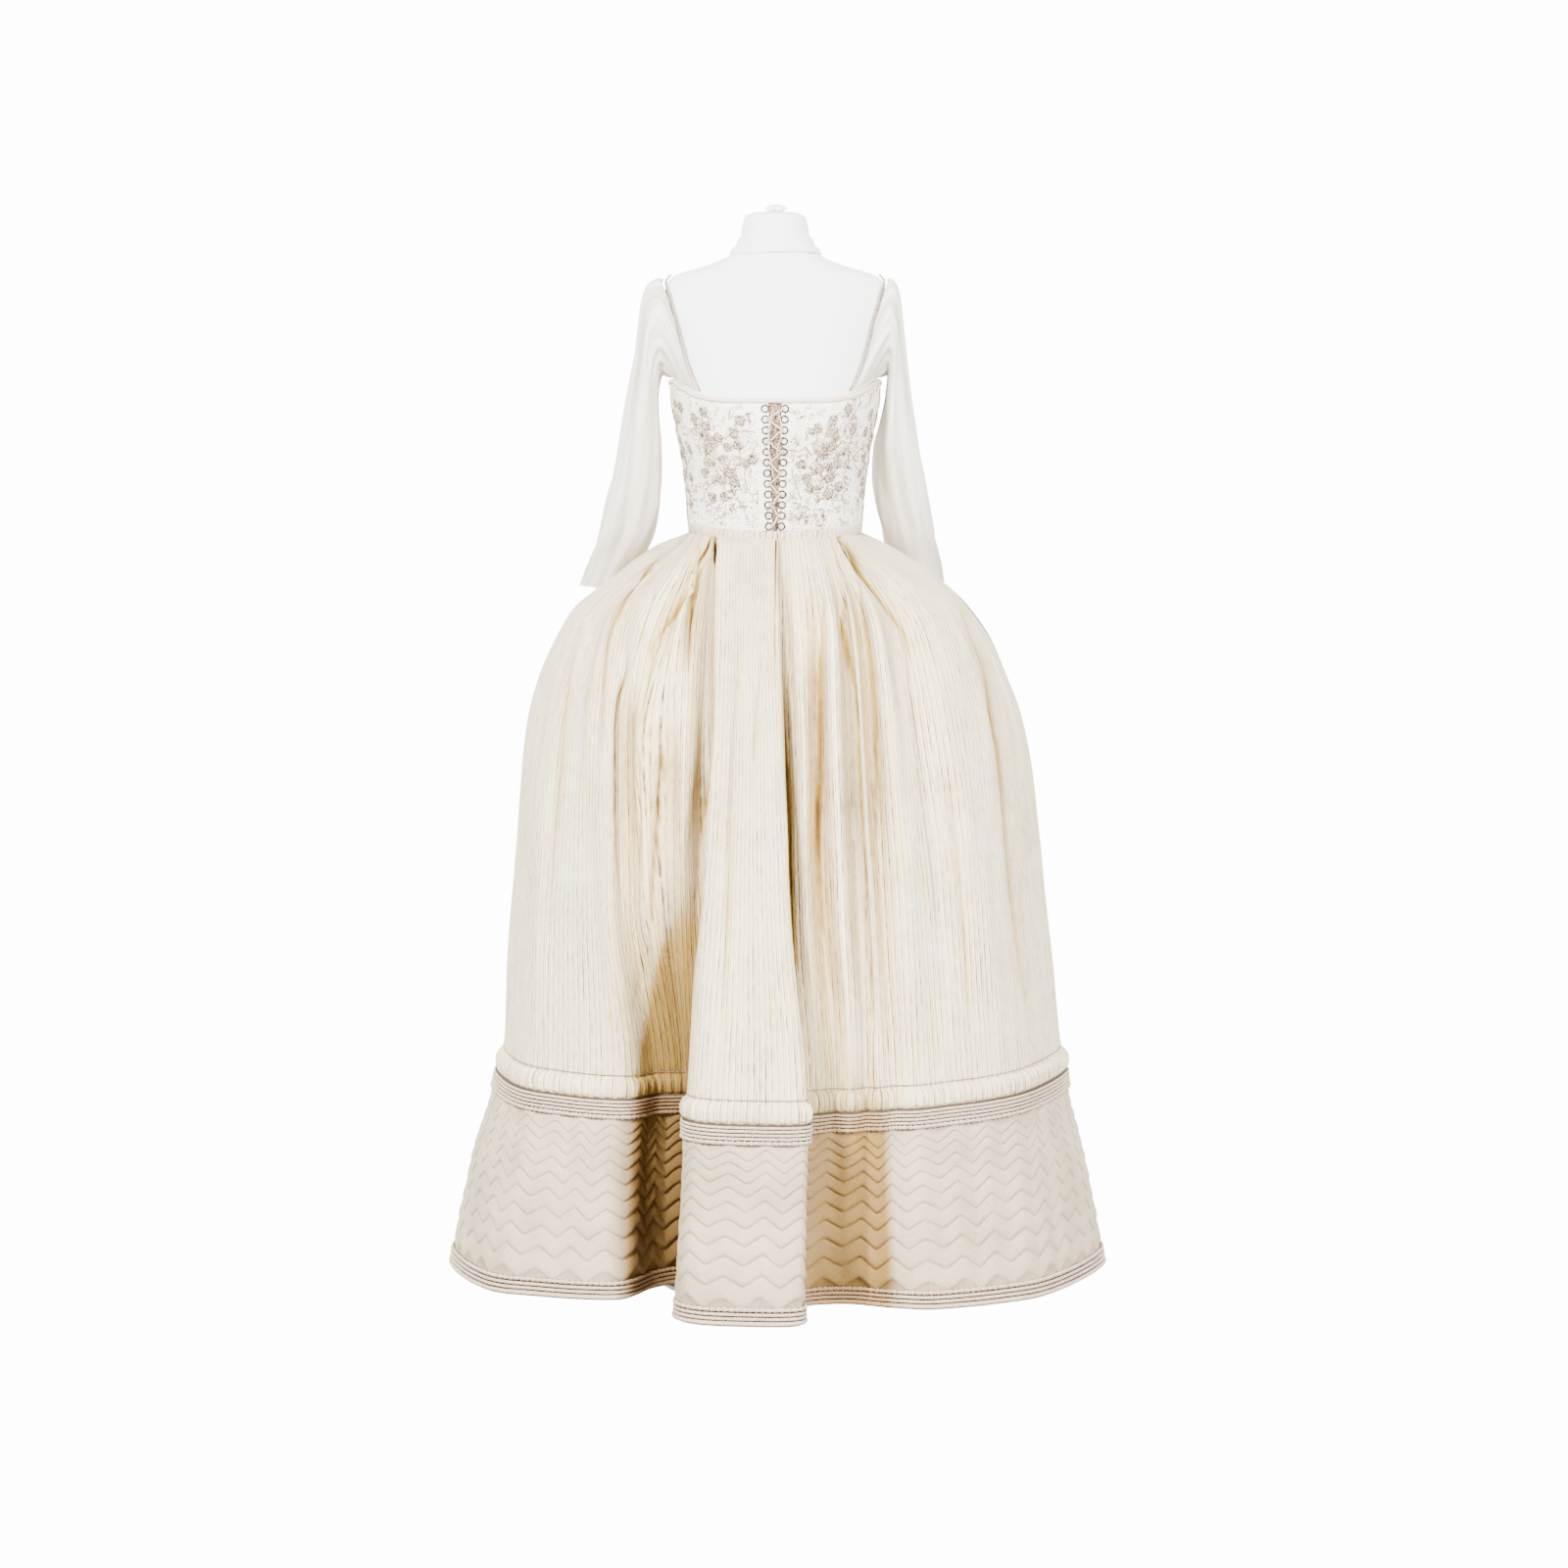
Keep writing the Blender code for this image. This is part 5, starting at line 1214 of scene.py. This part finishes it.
def make_waistband():
    angles = full_turn(300, 360)
    top = waist_at(angles)
    rows = [form_points(angles, top + rise, 0.0024 + out) for rise, out in (
        (0.0000, 0.0006), (0.0002, 0.0026), (-0.0020, 0.0030), (-0.0100, 0.0031),
        (-0.0122, 0.0026), (-0.0122, 0.0006))]
    points = np.array(rows)
    around = full_turn(len(angles), WAIST_ROUND)
    uv = np.stack(np.broadcast_arrays(around[None, :], points[:, :, 2]), axis=-1)
    band = grid_object("waist_tape", points, COTTON, uv, closed=True)
    place_on_body(band, "ivory_striped_cotton", "waistband")


def ring_share(row):
    height = float(bodice_top(0.0)) - WAIST_FRONT
    low, high = RING_BOTTOM_MARGIN / height, 1 - RING_TOP_MARGIN / height
    return low + (high - low) * row / (RING_ROWS - 1)


def ring_place(row, side):
    share = ring_share(row)
    z = float(bodice_points(0.0, share)[2])
    angle = side * float(form_angle_at(lacing_edge(share) + RING_FROM_EDGE, z))
    normal = form_normals(angle, z)
    surface = form_points(angle, z, BODICE_GAP + BODICE_CLOTH)
    return surface, normal


def make_lacing():
    turn = full_turn(28)
    for side, letter in ((-1, "l"), (1, "r")):
        parts = []
        for row in range(RING_ROWS):
            centre, normal = ring_place(row, side)
            across = np.cross([0.0, 0.0, 1.0], normal)
            across /= np.linalg.norm(across)
            up = np.cross(normal, across)
            way = across[None, :] * np.cos(turn)[:, None] + up[None, :] * np.sin(turn)[:, None]
            line = centre + normal * 0.0010 + way * RING_RADIUS
            parts.append(cord_geometry(line, way, 0.00105, 8, closed=True))
        rings = joined(f"rings_{letter}", parts, METAL)
        place_on_body(rings, "ring_metal",
                      *[f"lacing_ring_{letter}_{row + 1:02d}" for row in range(RING_ROWS)])
    points = []
    for row in range(RING_ROWS):
        side = -1 if row % 2 == 0 else 1
        centre, normal = ring_place(row, side)
        inward = np.array([-side, 0.0, 0.0])
        edge = centre + inward * RING_RADIUS
        points += [edge + normal * 0.0031 - [0, 0, 0.0016],
                   centre + normal * 0.0012 + inward * 0.0012 - [0, 0, 0.0004],
                   centre + normal * 0.0012 + inward * 0.0012 + [0, 0, 0.0004],
                   edge + normal * 0.0031 + [0, 0, 0.0016]]
    line = refined(points, 460)
    out = np.tile([0.0, -1.0, 0.0], (len(line), 1))
    verts, faces = cord_geometry(line, out, 0.0010, 8, pitch=0.004, depth=0.08)
    lace = mesh_object("lacing", verts, faces, LACE)
    place_on_body(lace, "pale_binding", "lace")


# The sleeves and the neckline cords


def neckline_at(rows, share):
    knots = np.linspace(0.0, 1.0, len(rows))
    return (smooth(knots, column(rows, "angle"), share), smooth(knots, column(rows, "z"), share))


def off_form(angle, z, out):
    out = np.asarray(out, float)
    return form_points(angle, z) + form_normals(angle, z) * out[..., None]


def make_neck_cords():
    for side, letter in ((-1, "l"), (1, "r")):
        front = neckline_at(FRONT_NECKLINE, np.linspace(1.0, 0.0, 60))
        back = neckline_at(BACK_NECKLINE, np.linspace(0.0, 1.0, 60)[1:])
        angle = np.concatenate([front[0], back[0]])
        z = np.concatenate([front[1], back[1]])
        line = off_form(side * angle, z, 0.0036 + 0 * z)
        out = form_normals(side * angle, z)
        verts, faces = cord_geometry(line, out, 0.0013, 8, pitch=0.005, depth=0.10)
        cord = mesh_object(f"neck_cord_{letter}", verts, faces, STRAP)
        place_on_body(cord, "pale_binding", f"neckline_cord_{letter}")


def sleeve_seam(turns, side):
    """The sleeve's seam on the form: turn 0 is the shoulder, 90 the front, 180 the underarm."""
    points = []
    for turn in turns:
        if turn < 90 or turn > 270:
            front = turn < 90
            share = turn / 90 if front else (360 - turn) / 90
            angle, z = neckline_at(FRONT_NECKLINE if front else BACK_NECKLINE, share)
            away = SLEEVE_FROM_CORD * math.sin(share * math.pi / 2)
            angle = float(angle) + (away if front else -away)
            z = float(z) - SLEEVE_BELOW_CORD * (1 - share) ** 2
        else:
            front = FRONT_NECKLINE[-1].angle + SLEEVE_FROM_CORD
            back = BACK_NECKLINE[-1].angle - SLEEVE_FROM_CORD
            angle = front + (back - front) * (turn - 90) / 180
            z = float(bodice_top(angle)) + SLEEVE_OVER_BODICE
        shoulder = max(0.0, math.cos(math.radians(turn)))
        points.append(off_form(side * angle, z, SLEEVE_OFF_FORM + 0.0016 * shoulder))
    return np.array(points)


def make_sleeve(name, side, rings, node):
    """A sheer sleeve from its seam on the form down to the open cuff."""
    columns = 128
    turns = full_turn(columns, 360)
    angle = np.radians(turns)
    coarse = [sleeve_seam(turns, side)]
    for ring in rings:
        outer = np.array([ring.outer_x, ring.mid_y, ring.outer_z])
        inner = np.array([ring.inner_x, ring.mid_y, ring.inner_z])
        row = (outer + inner) / 2 + np.cos(angle)[:, None] * (outer - inner) / 2
        row[:, 1] -= ring.depth * np.sin(angle)
        row[:, 0] *= side
        coarse.append(row)
    coarse = np.array(coarse)
    middle = coarse.mean(axis=1)
    steps = np.linalg.norm(np.diff(middle, axis=0), axis=1)
    knots = np.concatenate([[0.0], np.cumsum(np.maximum(steps, 0.012))])
    at = np.linspace(0, knots[-1], 130)
    points = np.empty((len(at), columns, 3))
    for j in range(columns):
        for k in range(3):
            points[:, j, k] = smooth(knots, coarse[:, j, k], at)
    share = at / knots[-1]
    along = np.gradient(points, axis=0)
    around = np.roll(points, -1, axis=1) - np.roll(points, 1, axis=1)
    normal = np.cross(around, along) * side
    normal /= np.linalg.norm(normal, axis=2, keepdims=True) + 1e-12
    fall = share[:, None]
    turn = angle[None, :]
    ripple = 0.0021 * np.sin(5 * turn + 7 * fall + 1.2 * side) * np.clip(fall * 3 - 0.3, 0, 1)
    ripple += 0.0020 * np.sin(3 * turn + 21 * fall + 2 * np.sin(2 * turn)) * np.clip(fall * 2 - 0.5, 0, 1)
    ripple += 0.0015 * np.sin(19 * turn + 2 * np.sin(8 * fall)) * np.exp(-((fall - 0.12) / 0.10) ** 2)
    points += normal * ripple[:, :, None]
    girths = np.linalg.norm(np.roll(points, -1, axis=1) - points, axis=2).sum(axis=1)
    girth = girths.max()
    uv = np.stack(np.broadcast_arrays(turns[None, :] / 360 * girth, -at[:, None]), axis=-1)
    if side < 0:
        points = np.concatenate([points[:, :1], points[:, 1:][:, ::-1]], axis=1)
    sleeve = grid_object(name, points, VOILE, uv, closed=True)
    place_on_body(sleeve, "sheer_voile", node)
    return sleeve


# The skirt, its frill and the quilted flounce


def frill_out(z):
    """How far the frill stands off the skirt below its stitched line."""
    return smooth([FRILL_BOTTOM, 0.2965, 0.3065, 0.3150, FRILL_STITCH, 0.3245, 0.3400],
                  [0.0045, 0.0075, 0.0088, 0.0060, -0.0010, 0.0004, 0.0], z)


SKIRT_COLUMN = 0.0018
CREASE_DEPTH = 1.4
SIDE_SEAM_FADE = 0.015
TOP_TUCK = ((0.0040, -0.0062), (0.0018, -0.0034))


def make_skirt():
    z_rows = np.concatenate([
        SKIRT_TOP - (SKIRT_TOP - 0.93) * np.linspace(0, 1, 34) ** 1.15,
        np.linspace(0.925, 0.335, 48),
        np.linspace(0.328, FRILL_BOTTOM, 20),
    ])
    for name, (first, last) in PANELS.items():
        length = knee_length_at(last) - knee_length_at(first)
        u = np.linspace(knee_length_at(first), knee_length_at(last), int(length / SKIRT_COLUMN))
        places = np.interp(u, KNEE_LENGTHS, PLACE_KNOTS)
        creases = FRONT_CREASES if name.startswith("front") else BACK_CREASES
        from_side = np.clip(np.minimum(u, KNEE_LENGTHS[-1] - u) / SIDE_SEAM_FADE, 0, 1)
        rows = []
        hollow_rows = [SKIRT_TOP] * len(TOP_TUCK) + list(z_rows) + [FRILL_BOTTOM] * 2
        # Painted shade: from how far the folds close in and from the valley bands; the creases are added
        # below
        painted_shade = np.clip(0.8 * hollow_table(hollow_rows, places) - 0.24, 0, 0.26)
        painted_shade = np.maximum(painted_shade, place_shade(hollow_rows, places))
        top, top_normals = outline_with_normals(SKIRT_TOP, places)
        for rise, tuck in TOP_TUCK:
            row = lifted(top + top_normals * tuck, SKIRT_TOP)
            row[:, 2] += rise
            rows.append(row)
        for z in z_rows:
            points, normals = outline_with_normals(z, places)
            out = float(frill_out(z)) if z < 0.34 else 0.0
            level = lifted(points, z)
            near_waist = math.exp(-((SKIRT_TOP - z) / 0.06) ** 2)
            fine = 0.0007 * near_waist * np.sin(2 * np.pi * u / 0.023 + 1.4 * np.sin(u * 17))
            below = np.clip((FRILL_STITCH - z) / 0.012, 0, 1)
            pucker = np.exp(-((z - FRILL_STITCH) / 0.006) ** 2)
            fine = fine + (0.0013 * below + 0.0009 * pucker) * np.sin(
                2 * np.pi * u / 0.0148 + 1.1 * np.sin(u * 31))
            loose = (1 - near_waist) * np.clip((z - 0.33) / 0.1, 0, 1)
            fine = fine + loose * (0.0011 * np.sin(u * 61 + 4.2 * z + 1.3 * np.sin(u * 23 + 9 * z))
                                   + 0.0006 * np.sin(u * 143 - 11 * z + 2 * np.sin(14 * z)))
            fine = fine * from_side
            drawn_in = CREASE_DEPTH * crease_out(level, creases)
            # Painted shade in the creases, and on the front near-black painted shadow in the slits
            shade = crease_shade(level, creases, 12.0, 0.34)
            if name.startswith("front"):
                shade = np.maximum(np.minimum(shade, 0.9), crease_shade(level, SLIT_SHADOWS, 2.2, 0.7))
            painted_shade[len(rows)] = np.maximum(painted_shade[len(rows)], shade)
            rows.append(lifted(points + normals * (out + fine + drawn_in)[:, None], z))
        points, normals = outline_with_normals(FRILL_BOTTOM, places)
        for rise, out in ((-0.0004, 0.0034), (0.0030, 0.0026)):
            row = lifted(points + normals * out, FRILL_BOTTOM)
            row[:, 2] += rise
            rows.append(row)
        points = np.array(rows)
        drop = np.concatenate([[0.0], np.cumsum(
            np.linalg.norm(np.diff(points, axis=0), axis=2).mean(axis=1))])
        uv = np.stack(np.broadcast_arrays(u[None, :], -drop[:, None]), axis=-1)
        panel = grid_object(f"skirt_cloth_{name}", points, COTTON, uv, painted_shade=painted_shade)
        place_on_body(panel, "ivory_striped_cotton", f"skirt_{name}")


QUILT_TOP = 0.2600
QUILT_BOTTOM = 0.0490
QUILT_LINES = 11
QUILT_ZIGZAG = 0.0092
QUILT_LINE_SHADE = 0.035
QUILT_FACET = 0.0016
CHEVRONS = round(HEM_ROUND / 0.051)


def flounce_out(z):
    share = np.clip((z - 0.235) / (FLOUNCE_TOP - 0.235), 0.0, 1.0)
    return 0.0032 * share


def triangle(phase):
    """A zigzag between -1 and 1 with its corners a little rounded."""
    return np.arcsin(0.985 * np.cos(2 * np.pi * phase)) / math.asin(0.985)


def flounce_surface(z, places, out):
    """Points of the flounce for arrays of heights and places, moved out."""
    level = np.linspace(HEM - 0.012, FLOUNCE_TOP + 0.012, 70)
    table = np.empty((len(level), len(places), 5))
    for i, height in enumerate(level):
        clipped = float(np.clip(height, HEM, FLOUNCE_TOP))
        points, normals = outline_with_normals(clipped, places)
        raised = lifted(points, clipped)
        table[i, :, :2] = points
        table[i, :, 2:4] = normals
        table[i, :, 4] = raised[:, 2] - clipped
    at = np.clip((z - level[0]) / (level[1] - level[0]), 0, len(level) - 1.001)
    low = np.floor(at).astype(int)
    share = (at - low)[..., None]
    columns = np.broadcast_to(np.arange(len(places)), z.shape)
    values = table[low, columns] * (1 - share) + table[low + 1, columns] * share
    normal = values[..., 2:4]
    normal = normal / np.linalg.norm(normal, axis=-1, keepdims=True)
    flat = values[..., :2] + normal * (out + flounce_out(z))[..., None]
    return np.concatenate([flat, (z + values[..., 4])[..., None]], axis=-1)


def quilt_heights():
    shares = np.arange(QUILT_LINES) / (QUILT_LINES - 1)
    return QUILT_TOP - (QUILT_TOP - QUILT_BOTTOM) * shares * (0.52 + 0.48 * shares)


def make_flounce():
    lines = quilt_heights()
    z_rows, puffs, zags = [FLOUNCE_TOP, 0.2800], [0.0, 0.0], [0.0, 0.0]
    for upper, lower in zip(lines, lines[1:]):
        size = 0.0014 + 0.125 * (upper - lower)
        for t in (0.0, 0.10, 0.30, 0.50, 0.68, 0.82, 0.92, 0.97):
            z_rows.append(upper + (lower - upper) * t)
            puffs.append(size * t ** 0.7 * (1 - t**9) if t else -0.0006)
            zags.append(1.0)
    z_rows += [lines[-1], (lines[-1] + HEM) / 2, HEM + 0.004, HEM, HEM, HEM + 0.010]
    puffs += [-0.0004, 0.0004, 0.0, -0.0006, -0.0024, -0.0030]
    zags += [1.0, 0.2, 0.0, 0.0, 0.0, 0.0]
    z_rows, puffs, zags = (np.array(a)[:, None] for a in (z_rows, puffs, zags))
    for name, (first, last) in PANELS.items():
        start, end = hem_length_at(first), hem_length_at(last)
        count = max(24, int((end - start) / 0.0032))
        length = np.linspace(start, end, count)
        places = place_at_hem(length)
        phase = length / HEM_ROUND * CHEVRONS
        turn = 2 * np.pi * phase / CHEVRONS
        tall = QUILT_ZIGZAG * (0.84 + 0.16 * np.sin(turn * 21))[None, :]
        z = z_rows + tall * zags * triangle(phase)[None, :]
        levels = np.clip(z_rows[:, 0], HEM, FLOUNCE_TOP)
        # Painted shade: from how far the folds close in and from the valley bands
        painted_shade = np.clip(0.9 * hollow_table(levels, places) - 0.30, 0, 0.30)
        painted_shade = np.maximum(painted_shade, place_shade(levels, places))
        soft = 1 + 0.16 * np.sin(turn * 67 + z_rows * 90) + 0.10 * np.sin(turn * 28 - z_rows * 40)
        soft = soft * (0.62 + 0.60 * np.minimum(1.0, 1.6 * painted_shade))
        facet = QUILT_FACET * zags * (0.5 + 0.5 * triangle(phase)[None, :])
        points = flounce_surface(z, places, puffs * soft + facet)
        uv = np.stack(np.broadcast_arrays(length[None, :], z), axis=-1)
        # Painted shade along each quilting line's groove
        painted_shade = np.clip(painted_shade + QUILT_LINE_SHADE * (puffs < 0) * (zags > 0.5), 0, 1)
        panel = grid_object(f"quilting_{name}", points, QUILTED, uv, painted_shade=painted_shade)
        place_on_body(panel, "quilted_linen", f"flounce_{name}")


# The braids

BRAID_COLUMNS = "z out radius pitch depth flat"
CHAIN_FROM = 0.2
SEAM_CORDS = table(
    "BraidCord", BRAID_COLUMNS,
    (0.2872, 0.0036, 0.0019, 0.009, 0.15, 0.9),
    (0.2823, 0.0038, 0.0021, -0.009, 0.15, 0.9),
    (0.2772, 0.0038, 0.0020, 0.009, 0.15, 0.9),
    (0.2721, 0.0038, 0.0021, -0.009, 0.15, 0.9),
    (0.2664, 0.0036, 0.0027, 0.010, 0.24, 0.8),
)
# Top and bottom of the painted shadow band behind the seam braid
SEAM_SHADOW_BAND = (0.2915, 0.2640)
HEM_CORDS = table(
    "BraidCord", BRAID_COLUMNS,
    (0.0418, 0.0036, 0.0027, 0.010, 0.24, 0.8),
    (0.0354, 0.0038, 0.0023, -0.009, 0.15, 0.9),
    (0.0296, 0.0038, 0.0023, 0.009, 0.15, 0.9),
    (0.0232, 0.0038, 0.0031, -0.009, 0.15, 0.9),
)
# Top and bottom of the painted shadow band behind the hem braid
HEM_SHADOW_BAND = (0.0440, 0.0205)
CHAIN_PITCH = 0.0085
BAND_STEP = 0.0021
CORD_SIDES = 6


def band_line(z, out, spacing=BAND_STEP):
    """Points right round the flounce at a height, with the way out from each."""
    length = np.arange(0, HEM_ROUND, spacing)
    places = place_at_hem(length)
    points, normals = outline_with_normals(z, places)
    raised = lifted(points, z)
    raised[:, :2] += normals * (out + float(flounce_out(np.array(z))))
    return raised, np.column_stack([normals, np.zeros(len(normals))])


def make_braid(name, cords, node, shadow_band):
    """Twisted cords side by side, with painted shade in the widest valleys, over a near-black band that is
    painted shadow under the frill and between the cords. Those deeper than CHAIN_FROM swell as a chain.
    """
    parts, painted_shade = [], []
    places = place_at_hem(np.arange(0, HEM_ROUND, BAND_STEP))
    for cord in cords:
        line, out = band_line(cord.z, cord.out)
        # Painted shade on the cords in the widest valleys
        painted_shade.append(np.repeat(place_shade([cord.z], places)[0], CORD_SIDES))
        radius = cord.radius
        if cord.depth > CHAIN_FROM:
            along = np.arange(len(line)) * BAND_STEP
            radius = radius * (1 + 0.22 * np.cos(2 * np.pi * along / CHAIN_PITCH))
        parts.append(cord_geometry(line, out, radius, CORD_SIDES, closed=True, pitch=cord.pitch,
                                   depth=cord.depth, flat=cord.flat))
    braid = joined(name, parts, BRAID)
    values = braid.data.attributes.new("painted_shade", "FLOAT", "POINT")
    values.data.foreach_set("value", np.concatenate(painted_shade).astype(np.float32))
    place_on_body(braid, "braid_cord", node)
    # A near-black band behind the cords: painted shadow under the frill and between the cords
    rows = [band_line(z, out, 0.004)[0] for z, out in (
        (shadow_band[0], 0.0002), (shadow_band[0], 0.0018), (shadow_band[1], 0.0018), (shadow_band[1], 0.0002))]
    shadow_sheet = grid_object(f"{name}_tape", np.array(rows), BRAID_PAINTED_SHADOW, closed=True)
    place_on_body(shadow_sheet, "braid_cord")


def make_stitches():
    """Short stitches: a row that holds the frill and a row under the braid."""
    parts = []
    for z_row, spacing, away in ((0.3225, 0.0062, 0.0008), (0.2622, 0.0085, 0.0026)):
        length = np.arange(0.0, HEM_ROUND, spacing)
        places = place_at_hem(length)
        points, normals = outline_with_normals(z_row, places)
        raised = lifted(points, z_row)
        along = np.roll(raised, -1, axis=0) - raised
        along /= np.linalg.norm(along, axis=1, keepdims=True)
        out = np.column_stack([normals, np.zeros(len(normals))])
        up = np.array([0.0, 0.0, 1.0])
        for p, t, n in zip(raised, along, out):
            c = p + n * ((float(frill_out(z_row)) if z_row > FRILL_BOTTOM else 0.0) + away)
            corners = [c + t * (0.0027 * a) + up * (0.00055 * b) + n * (0.0005 * d)
                       for a in (-1, 1) for b in (-1, 1) for d in (-1, 1)]
            parts.append((corners, [(0, 1, 3, 2), (4, 6, 7, 5), (0, 4, 5, 1), (2, 3, 7, 6),
                                    (0, 2, 6, 4), (1, 5, 7, 3)]))
    stitches = joined("frill_stitches", parts, THREAD)
    place_on_body(stitches, "quilted_linen")


def make_stand():
    for name in ("stand_base", "stand_pole"):
        stand = bpy.data.objects[name]
        stand.data.materials.clear()
        stand.data.materials.append(STAND)


FLOOR_HALF = 20.0
DOME_RADIUS = 24.0
BACKDROP_LIGHT = 14.0


def make_stage():
    """A white floor and dome that only the camera sees, and soft lamps on both sides of it."""
    white = new_material("backdrop_white", (0.0, 0.0, 0.0), 1.0)
    shader = white.node_tree.nodes["Principled BSDF"]
    shader.inputs["Emission Color"].default_value = (1.0, 1.0, 1.0, 1.0)
    shader.inputs["Emission Strength"].default_value = BACKDROP_LIGHT
    size = FLOOR_HALF
    floor = grid_object("floor", np.array([
        [[-size, size, 0.0], [size, size, 0.0]], [[-size, -size, 0.0], [size, -size, 0.0]]]), white)
    turn = full_turn(48)
    lat = np.radians(np.linspace(88, -20, 20))[:, None]
    dome = grid_object("backdrop", DOME_RADIUS * np.stack(np.broadcast_arrays(
        np.cos(lat) * np.cos(turn), np.cos(lat) * np.sin(turn), np.sin(lat)), axis=-1),
        white, closed=True)
    for piece in (floor, dome):
        for flag in ("visible_diffuse", "visible_glossy", "visible_shadow"):
            setattr(piece, flag, False)
    world = bpy.data.worlds.new("studio")
    world.use_nodes = True
    background = world.node_tree.nodes["Background"]
    background.inputs[0].default_value = (1.0, 0.98, 0.95, 1.0)
    background.inputs[1].default_value = 1.3
    bpy.context.scene.world = world
    lamps = [
        ("key", (-2.3, -4.1, 3.4), 1.1, 1180.0),
        ("fill", (2.5, -4.3, 2.2), 1.1, 760.0),
        ("rim_left", (-3.0, 3.0, 2.6), 2.0, 500.0),
        ("rim_right", (3.0, 3.0, 2.6), 2.0, 500.0),
    ]
    for name, place, size, power in lamps:
        data = bpy.data.lights.new(name, "AREA")
        data.size = size
        data.energy = power
        lamp = link(bpy.data.objects.new(name, data))
        lamp.location = place
        aim = Vector((0.0, 0.0, 0.8)) - Vector(place)
        lamp.rotation_euler = aim.to_track_quat("-Z", "Y").to_euler()


make_camera()
make_lace_tails()
make_form()
make_bodice()
make_embroidery()
make_binding()
make_waistband()
make_lacing()
make_neck_cords()
make_sleeve("voile_sleeve_l", -1, SLEEVE_LEFT, "sleeve_l")
make_sleeve("voile_sleeve_r", 1, SLEEVE_RIGHT, "sleeve_r")
make_skirt()
make_flounce()
make_braid("cord_braid_seam", SEAM_CORDS, "seam_braid", SEAM_SHADOW_BAND)
make_braid("cord_braid_hem", HEM_CORDS, "hem_braid", HEM_SHADOW_BAND)
make_stitches()
make_stand()
make_stage()
